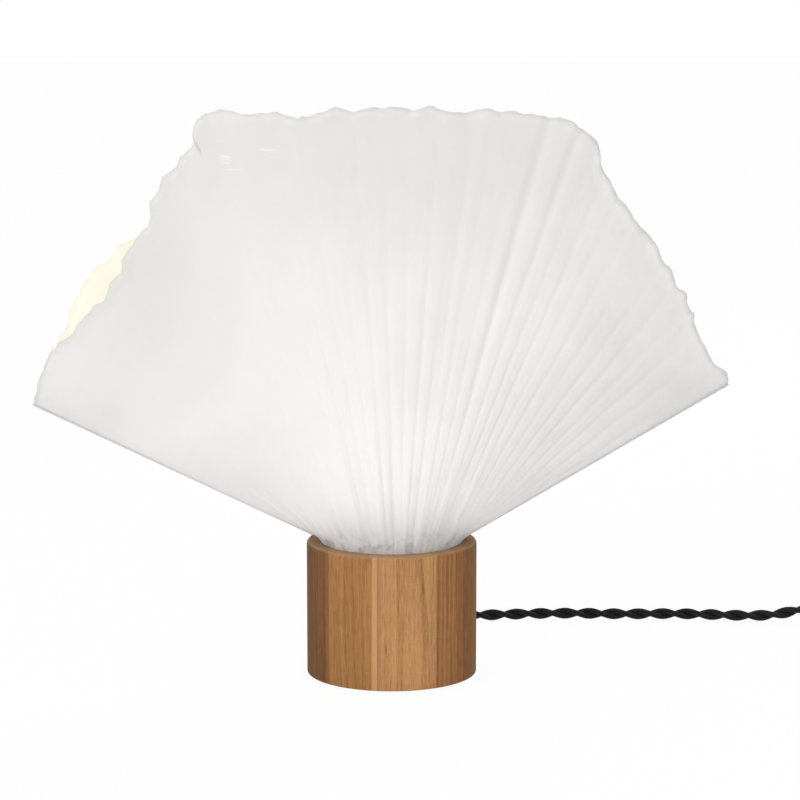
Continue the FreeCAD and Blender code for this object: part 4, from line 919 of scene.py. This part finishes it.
def foldDepth(tree, given, u, v, fold, upPart):
    # pleats: nearly flat at the left, deepest right of the middle, fading towards the rim
    fromNeck = times(tree, upPart, minus(tree, given["Rim Fold"], given["Neck Fold"]))
    deep = plus(tree, given["Neck Fold"], fromNeck)
    uneven = timesPlus(tree, lineNoise(tree, u, 43.0, given["Seed"], 7.0), 3.2, 1.0)
    uneven = calc(tree, "MAXIMUM", uneven, 0.1)
    fading = fitRange(tree, minus(tree, v, times(tree, u, 0.6)), 0.10, 0.55, 1.0, 0.4)
    lively = times(tree, fitRange(tree, u, 0.28, 0.52, 0.12, 1.0), fading)
    lively = times(tree, lively, fitRange(tree, v, 0.09, 0.28, 0.3, 1.0))
    sink = times(tree, times(tree, fold, deep), times(tree, lively, uneven))

    for centre, wide, depth, start in foldSet["deepFolds"]:
        gap = calc(tree, "DIVIDE", minus(tree, u, centre), wide)
        bell = calc(tree, "EXPONENT", times(tree, times(tree, gap, gap), -1.0))
        sink = plus(tree, sink, times(tree, bell, fitRange(tree, v, start, start + 0.35, 0.0, depth)))
    return sink


def crumpleHeight(tree, given, u, v):
    seed = given["Seed"]
    loose = fitRange(tree, v, 0.05, 0.30, 1.0, 0.35)
    wrinkles = minus(tree, sheetNoise(tree, u, v, seed, foldSet["wrinkles"]), 0.5)
    wave = times(tree, wrinkles, times(tree, given["Crumple"], loose))

    gathered = fitRange(tree, v, 0.16, 0.42, foldSet["gatherDeep"], 0.0)
    gathered = times(tree, fitRange(tree, v, 0.075, 0.12), gathered)
    wave = timesPlus(tree, lineNoise(tree, u, foldSet["gathers"], seed, 15.0), gathered, wave)
    tufts = minus(tree, sheetNoise(tree, u, v, seed, foldSet["tufts"]), 0.54)
    tufted = times(tree, fitRange(tree, v, 0.09, 0.17, 1.0, 0.0), fitRange(tree, v, 0.06, 0.082, 0.1, 1.0))
    wave = timesPlus(tree, times(tree, tufts, given["Neck Crumple"]), tufted, wave)

    swell = minus(tree, sheetNoise(tree, u, v, seed, foldSet["swells"], 1.0, 0.5), 0.5)
    wave = timesPlus(tree, times(tree, swell, foldSet["swellDeep"]), fitRange(tree, v, 0.2, 0.6), wave)
    lift = timesPlus(tree, lineNoise(tree, u, 48.0, seed, 11.0), foldSet["curlDeep"], 0.0012)
    return plus(tree, wave, times(tree, fitRange(tree, v, 0.965, 1.0), lift))


def pleatTree():
    tree = bpy.data.node_groups.new("pleatedPaper", "GeometryNodeTree")
    tree.is_modifier = True
    given = pleatInputs(tree)
    grid = node(tree, "GeometryNodeMeshGrid", {
        "Size X": 1.0, "Size Y": 1.0,
        "Vertices X": timesPlus(tree, given["Pleats"], foldSet["gridPerPleat"], 1.0),
        "Vertices Y": given["Rows"],
    })
    spot = node(tree, "GeometryNodeInputPosition").outputs[0]
    kept = storeField(tree, grid.outputs[0], "flatPlace", spot, "FLOAT_VECTOR", "POINT")
    flat = node(tree, "GeometryNodeInputNamedAttribute", {"Name": "flatPlace"}, data_type="FLOAT_VECTOR")
    across, along = parted(tree, flat.outputs[0])[:2]
    u = plus(tree, across, 0.5)
    v = plus(tree, along, 0.5)

    fold = foldField(tree, given, u)
    place, upPart = smoothPlace(tree, given, u, v, fold)
    smooth = node(tree, "GeometryNodeSetPosition", {"Geometry": kept, "Position": place}).outputs[0]
    shift = minus(tree, crumpleHeight(tree, given, u, v), foldDepth(tree, given, u, v, fold, upPart))
    ends = calc(tree, "MINIMUM", fitRange(tree, u, 0.0, 0.02), fitRange(tree, u, 0.98, 1.0, 1.0, 0.0))
    outward = times(tree, given["Side"], -1.0)
    shift = times(tree, times(tree, shift, outward), ends)
    normal = node(tree, "GeometryNodeInputNormal").outputs[0]
    folded = node(tree, "GeometryNodeSetPosition", {
        "Geometry": smooth, "Offset": vec(tree, "SCALE", normal, shift),
    }).outputs[0]
    mapped = storeField(tree, folded, "UVMap", joined(tree, u, v, 0.0), "FLOAT2", "CORNER")
    real = node(tree, "GeometryNodeRealizeInstances", {"Geometry": mapped}).outputs[0]
    soft = node(tree, "GeometryNodeSetShadeSmooth", {"Geometry": real, "Shade Smooth": True}).outputs[0]
    painted = node(tree, "GeometryNodeSetMaterial", {"Geometry": soft, "Material": given["Paper"]})
    node(tree, "NodeGroupOutput", {"Geometry": painted.outputs[0]})
    return tree


def rimCurve(name, corners):
    data = bpy.data.curves.new(name, "CURVE")
    data.dimensions = "3D"
    spline = data.splines.new("POLY")
    spline.points.add(len(corners) - 1)
    for point, (x, z) in zip(spline.points, corners):
        point.co = (x, 0, z, 1)
    return newPiece(name, data)


def plainMesh(name, holder):
    graph = bpy.context.evaluated_depsgraph_get()
    mesh = bpy.data.meshes.new_from_object(holder.evaluated_get(graph), depsgraph=graph)
    mesh.name = name
    bpy.data.objects.remove(holder)
    return mesh


def pleatedPanel(tree, panelSet):
    name = panelSet["name"]
    guide = rimCurve(name + "Rim", panelSet["rim"])
    holder = newPiece(name + "Holder", bpy.data.meshes.new(name + "Holder"))
    modifier = holder.modifiers.new("pleats", "NODES")
    modifier.node_group = tree
    values = {"Rim": guide, "Paper": finishes["white_paper"], **pleatValues(panelSet)}
    for item in tree.interface.items_tree:
        if item.item_type == "SOCKET" and item.in_out == "INPUT" and item.name in values:
            modifier[item.identifier] = values[item.name]
    mesh = plainMesh(name, holder)
    bpy.data.objects.remove(guide)
    if panelSet["side"] > 0:
        mesh.flip_normals()
    panel = placePiece(name, mesh, "shade", [panelSet["node"]], "white_paper")
    solid = panel.modifiers.new("paperThickness", "SOLIDIFY")
    solid.thickness = shadeSet["paperThick"]
    solid.offset = -1


# seam strip: a narrow folded strip of paper over each lower side edge
seamSet = {
    "leg": 0.0016,
    "gap": 0.00045,
    "thick": 0.0003,
    "start": 0.006,
    "past": 0.0004,  # the strip ends this far past the tip
    "parts": 60,
    "arcParts": 8,
    "uneven": 0.18,
    "seed": 11,
    "sharpAngle": 40,
}


def seamSection():
    half = seamSet["gap"]
    arc = []
    for index in range(seamSet["arcParts"] + 1):
        turn = math.radians(180 + 180 * index / seamSet["arcParts"])
        arc.append((half * math.cos(turn), -half * math.sin(turn)))
    outer = [(-half, -seamSet["leg"])] + arc + [(half, -seamSet["leg"])]
    narrow = (half - seamSet["thick"]) / half
    inner = []
    for across, down in outer[::-1]:
        atLeg = abs(down) == seamSet["leg"]
        inner.append((across * narrow, down if atLeg else down * 0.5))
    return outer + inner


def seamTape(name, tip, replaced):
    neck = Vector((math.copysign(shadeSet["neckRadius"], tip[0]), 0, shadeSet["neckHeight"]))
    way = Vector((tip[0], 0, tip[1])) - neck
    length = way.length
    way.normalize()
    side = Vector((0, 1, 0))
    below = way.cross(side)
    if below.z > 0:
        below.negate()
    random.seed(seamSet["seed"])
    loop = seamSection()
    points = []
    for index in range(seamSet["parts"] + 1):
        along = mix(seamSet["start"], length + seamSet["past"], index / seamSet["parts"])
        swell = 1 + seamSet["uneven"] * random.uniform(-1, 1)
        for across, down in loop:
            points.append(neck + way * along + side * across * swell + below * down)
    mesh = meshFrom(name, points, tubeFaces(0, seamSet["parts"], len(loop)), seamSet["sharpAngle"])
    outwards(mesh)
    placePiece(name, mesh, "shade", replaced, "white_paper")


def makeShade():
    tree = pleatTree()
    for panelSet in panels:
        pleatedPanel(tree, panelSet)
    seamTape("leftSeam", frontRim[0], ["left_seam"])
    seamTape("rightSeam", frontRim[-1], ["right_seam"])
    print("shade panels")


# turned pieces: a closed outline of (radius, height) spun round the upright axis
turnedSharp = 32  # degrees between two faces from which their edge stays sharp


def arcCorner(centre, radius, startAngle, endAngle, steps):
    points = []
    for index in range(steps + 1):
        angle = math.radians(mix(startAngle, endAngle, index / steps))
        points.append((centre[0] + radius * math.cos(angle), centre[1] + radius * math.sin(angle)))
    return points


def turnedPiece(name, outline, body, replaced, slotName, sides):
    points = []
    rings = []
    for radius, high in outline:
        if radius < 1e-6:  # a pole is one point
            rings.append([len(points)])
            points.append((0, 0, high))
            continue
        rings.append([len(points) + index for index in range(sides)])
        for index in range(sides):
            turn = 2 * math.pi * index / sides
            points.append((radius * math.cos(turn), radius * math.sin(turn), high))
    faces = []
    for here, after in zip(rings, rings[1:] + rings[:1]):
        if len(here) == 1 and len(after) == 1:
            continue
        for index in range(sides):
            second = (index + 1) % sides
            if len(here) == 1:
                faces.append((here[0], after[second], after[index]))
            elif len(after) == 1:
                faces.append((here[index], here[second], after[0]))
            else:
                faces.append((here[index], here[second], after[second], after[index]))
    placePiece(name, meshFrom(name, points, faces, turnedSharp), body, replaced, slotName)


baseSet = {
    "radius": 0.050,
    "low": 0.001,
    "top": 0.0804,
    "rimRound": 0.002,
    "footRound": 0.001,
    "mouthRadius": 0.0415,
    "mouthRound": 0.0008,
    "ledge": 0.060,
    "boreRadius": 0.039,
    "webTop": 0.028,
    "webLow": 0.022,
    "webHole": 0.0052,
    "cavityRadius": 0.040,
    "recessRadius": 0.0462,
    "recessTop": 0.004,
    "sides": 240,
    "wallParts": 4,
}


def makeBase():
    size = baseSet
    foot = (size["radius"] - size["footRound"], size["low"] + size["footRound"])
    rim = (size["radius"] - size["rimRound"], size["top"] - size["rimRound"])
    mouth = (size["mouthRadius"] + size["mouthRound"], size["top"] - size["mouthRound"])
    outline = [(size["recessRadius"], size["low"])]
    outline += arcCorner(foot, size["footRound"], -90, 0, 4)
    for part in range(1, size["wallParts"]):
        outline.append((size["radius"], mix(size["low"], size["top"], part / size["wallParts"])))
    outline += arcCorner(rim, size["rimRound"], 0, 90, 8)
    outline += arcCorner(mouth, size["mouthRound"], 90, 180, 4)
    inside = (
        ("mouthRadius", "ledge"), ("boreRadius", "ledge"), ("boreRadius", "webTop"), ("webHole", "webTop"),
        ("webHole", "webLow"), ("cavityRadius", "webLow"), ("cavityRadius", "recessTop"),
        ("recessRadius", "recessTop"),
    )
    outline += [(size[radius], size[high]) for radius, high in inside]
    turnedPiece("turnedBase", outline, "base", ["wooden_base"], "stained_pine", size["sides"])
    print("turned base")


def makeBulb():
    centre = (0, bulbSet["middle"])
    radius = bulbSet["radius"]
    inner = radius - bulbSet["wall"]
    low = -math.degrees(math.asin(bulbSet["neckDrop"] / radius))
    innerLow = -math.degrees(math.asin(bulbSet["neckDrop"] / inner))
    outline = arcCorner(centre, radius, low, 90, 28) + arcCorner(centre, inner, 90, innerLow, 20)
    turnedPiece("bulbGlobe", outline, "bulb", ["bulb_globe"], "opal_glass", 96)
    print("bulb")


# studio: a white floor, a soft white world, four round lamps and the bulb's own light
studioSet = {
    "floorSize": 6.0,
    "floorHeight": -0.0005,
    "floorColour": (0.86, 0.86, 0.86),
    "floorWhite": 0.95,
    "worldLevel": 0.80,
    "lamps": (  # name, place, aim, width and watts
        ("keyLamp", (-1.5, -1.5, 1.2), (0, 0, 0.18), 1.1, 20.0),
        ("fillLamp", (0.7, -2.0, 0.5), (0, 0, 0.18), 1.0, 4.0),
        ("sideLamp", (1.7, -1.3, 0.4), (0, 0, 0.18), 1.1, 1.0),
        ("backLamp", (0.9, 1.4, 1.5), (0, 0, 0.2), 1.0, 8.0),
    ),
}


def seenShare(tree):
    path = node(tree, "ShaderNodeLightPath").outputs
    mirrored = calc(tree, "MAXIMUM", path["Is Glossy Ray"], path["Is Transmission Ray"])
    return calc(tree, "MAXIMUM", path["Is Camera Ray"], mirrored)


def makeFloor():
    material, tree = newMaterial("studioFloor")
    paint = node(tree, "ShaderNodeBsdfDiffuse", {"Color": (*studioSet["floorColour"], 1)}).outputs[0]
    glow = node(tree, "ShaderNodeEmission", {"Color": (1, 1, 1, 1), "Strength": 1.0}).outputs[0]
    share = times(tree, seenShare(tree), studioSet["floorWhite"])
    finishMaterial(tree, node(tree, "ShaderNodeMixShader", {0: share, 1: paint, 2: glow}).outputs[0])
    size = studioSet["floorSize"]
    signs = ((-1, -1), (1, -1), (1, 1), (-1, 1))
    corners = [(x * size, y * size, studioSet["floorHeight"]) for x, y in signs]
    floor = newPiece("studioFloor", meshFrom("studioFloor", corners, [(0, 1, 2, 3)]))
    floor.data.materials.append(material)


def makeWorld():
    world = bpy.data.worlds.new("studioWorld")
    world.use_nodes = True
    bpy.context.scene.world = world
    sky = world.node_tree
    sky.nodes.clear()
    level = studioSet["worldLevel"]
    strength = timesPlus(sky, seenShare(sky), 1.0 - level, level)
    background = node(sky, "ShaderNodeBackground", {"Color": (1, 1, 1, 1), "Strength": strength})
    node(sky, "ShaderNodeOutputWorld", {"Surface": background.outputs[0]})


def makeLamps():
    for name, place, aim, wide, watts in studioSet["lamps"]:
        data = bpy.data.lights.new(name, "AREA")
        data.shape = "DISK"
        data.size = wide
        data.energy = watts
        lamp = newPiece(name, data)
        lamp.location = place
        lamp.rotation_euler = (Vector(aim) - Vector(place)).to_track_quat("-Z", "Y").to_euler()
    data = bpy.data.lights.new("bulbLight", "POINT")
    data.energy = bulbSet["lightWatts"]
    data.color = bulbSet["lightColour"]
    data.shadow_soft_size = bulbSet["lightRadius"]
    newPiece("bulbLight", data).location = bulbSet["lightPlace"]


def makeStage():
    makeFloor()
    makeWorld()
    makeLamps()
    bpy.context.scene.view_settings.view_transform = "Standard"
    print("studio")


makeCamera()
makeFinishes()
makeCords()
makeStage()
dressNodes()
makeShade()
makeBase()
makeBulb()
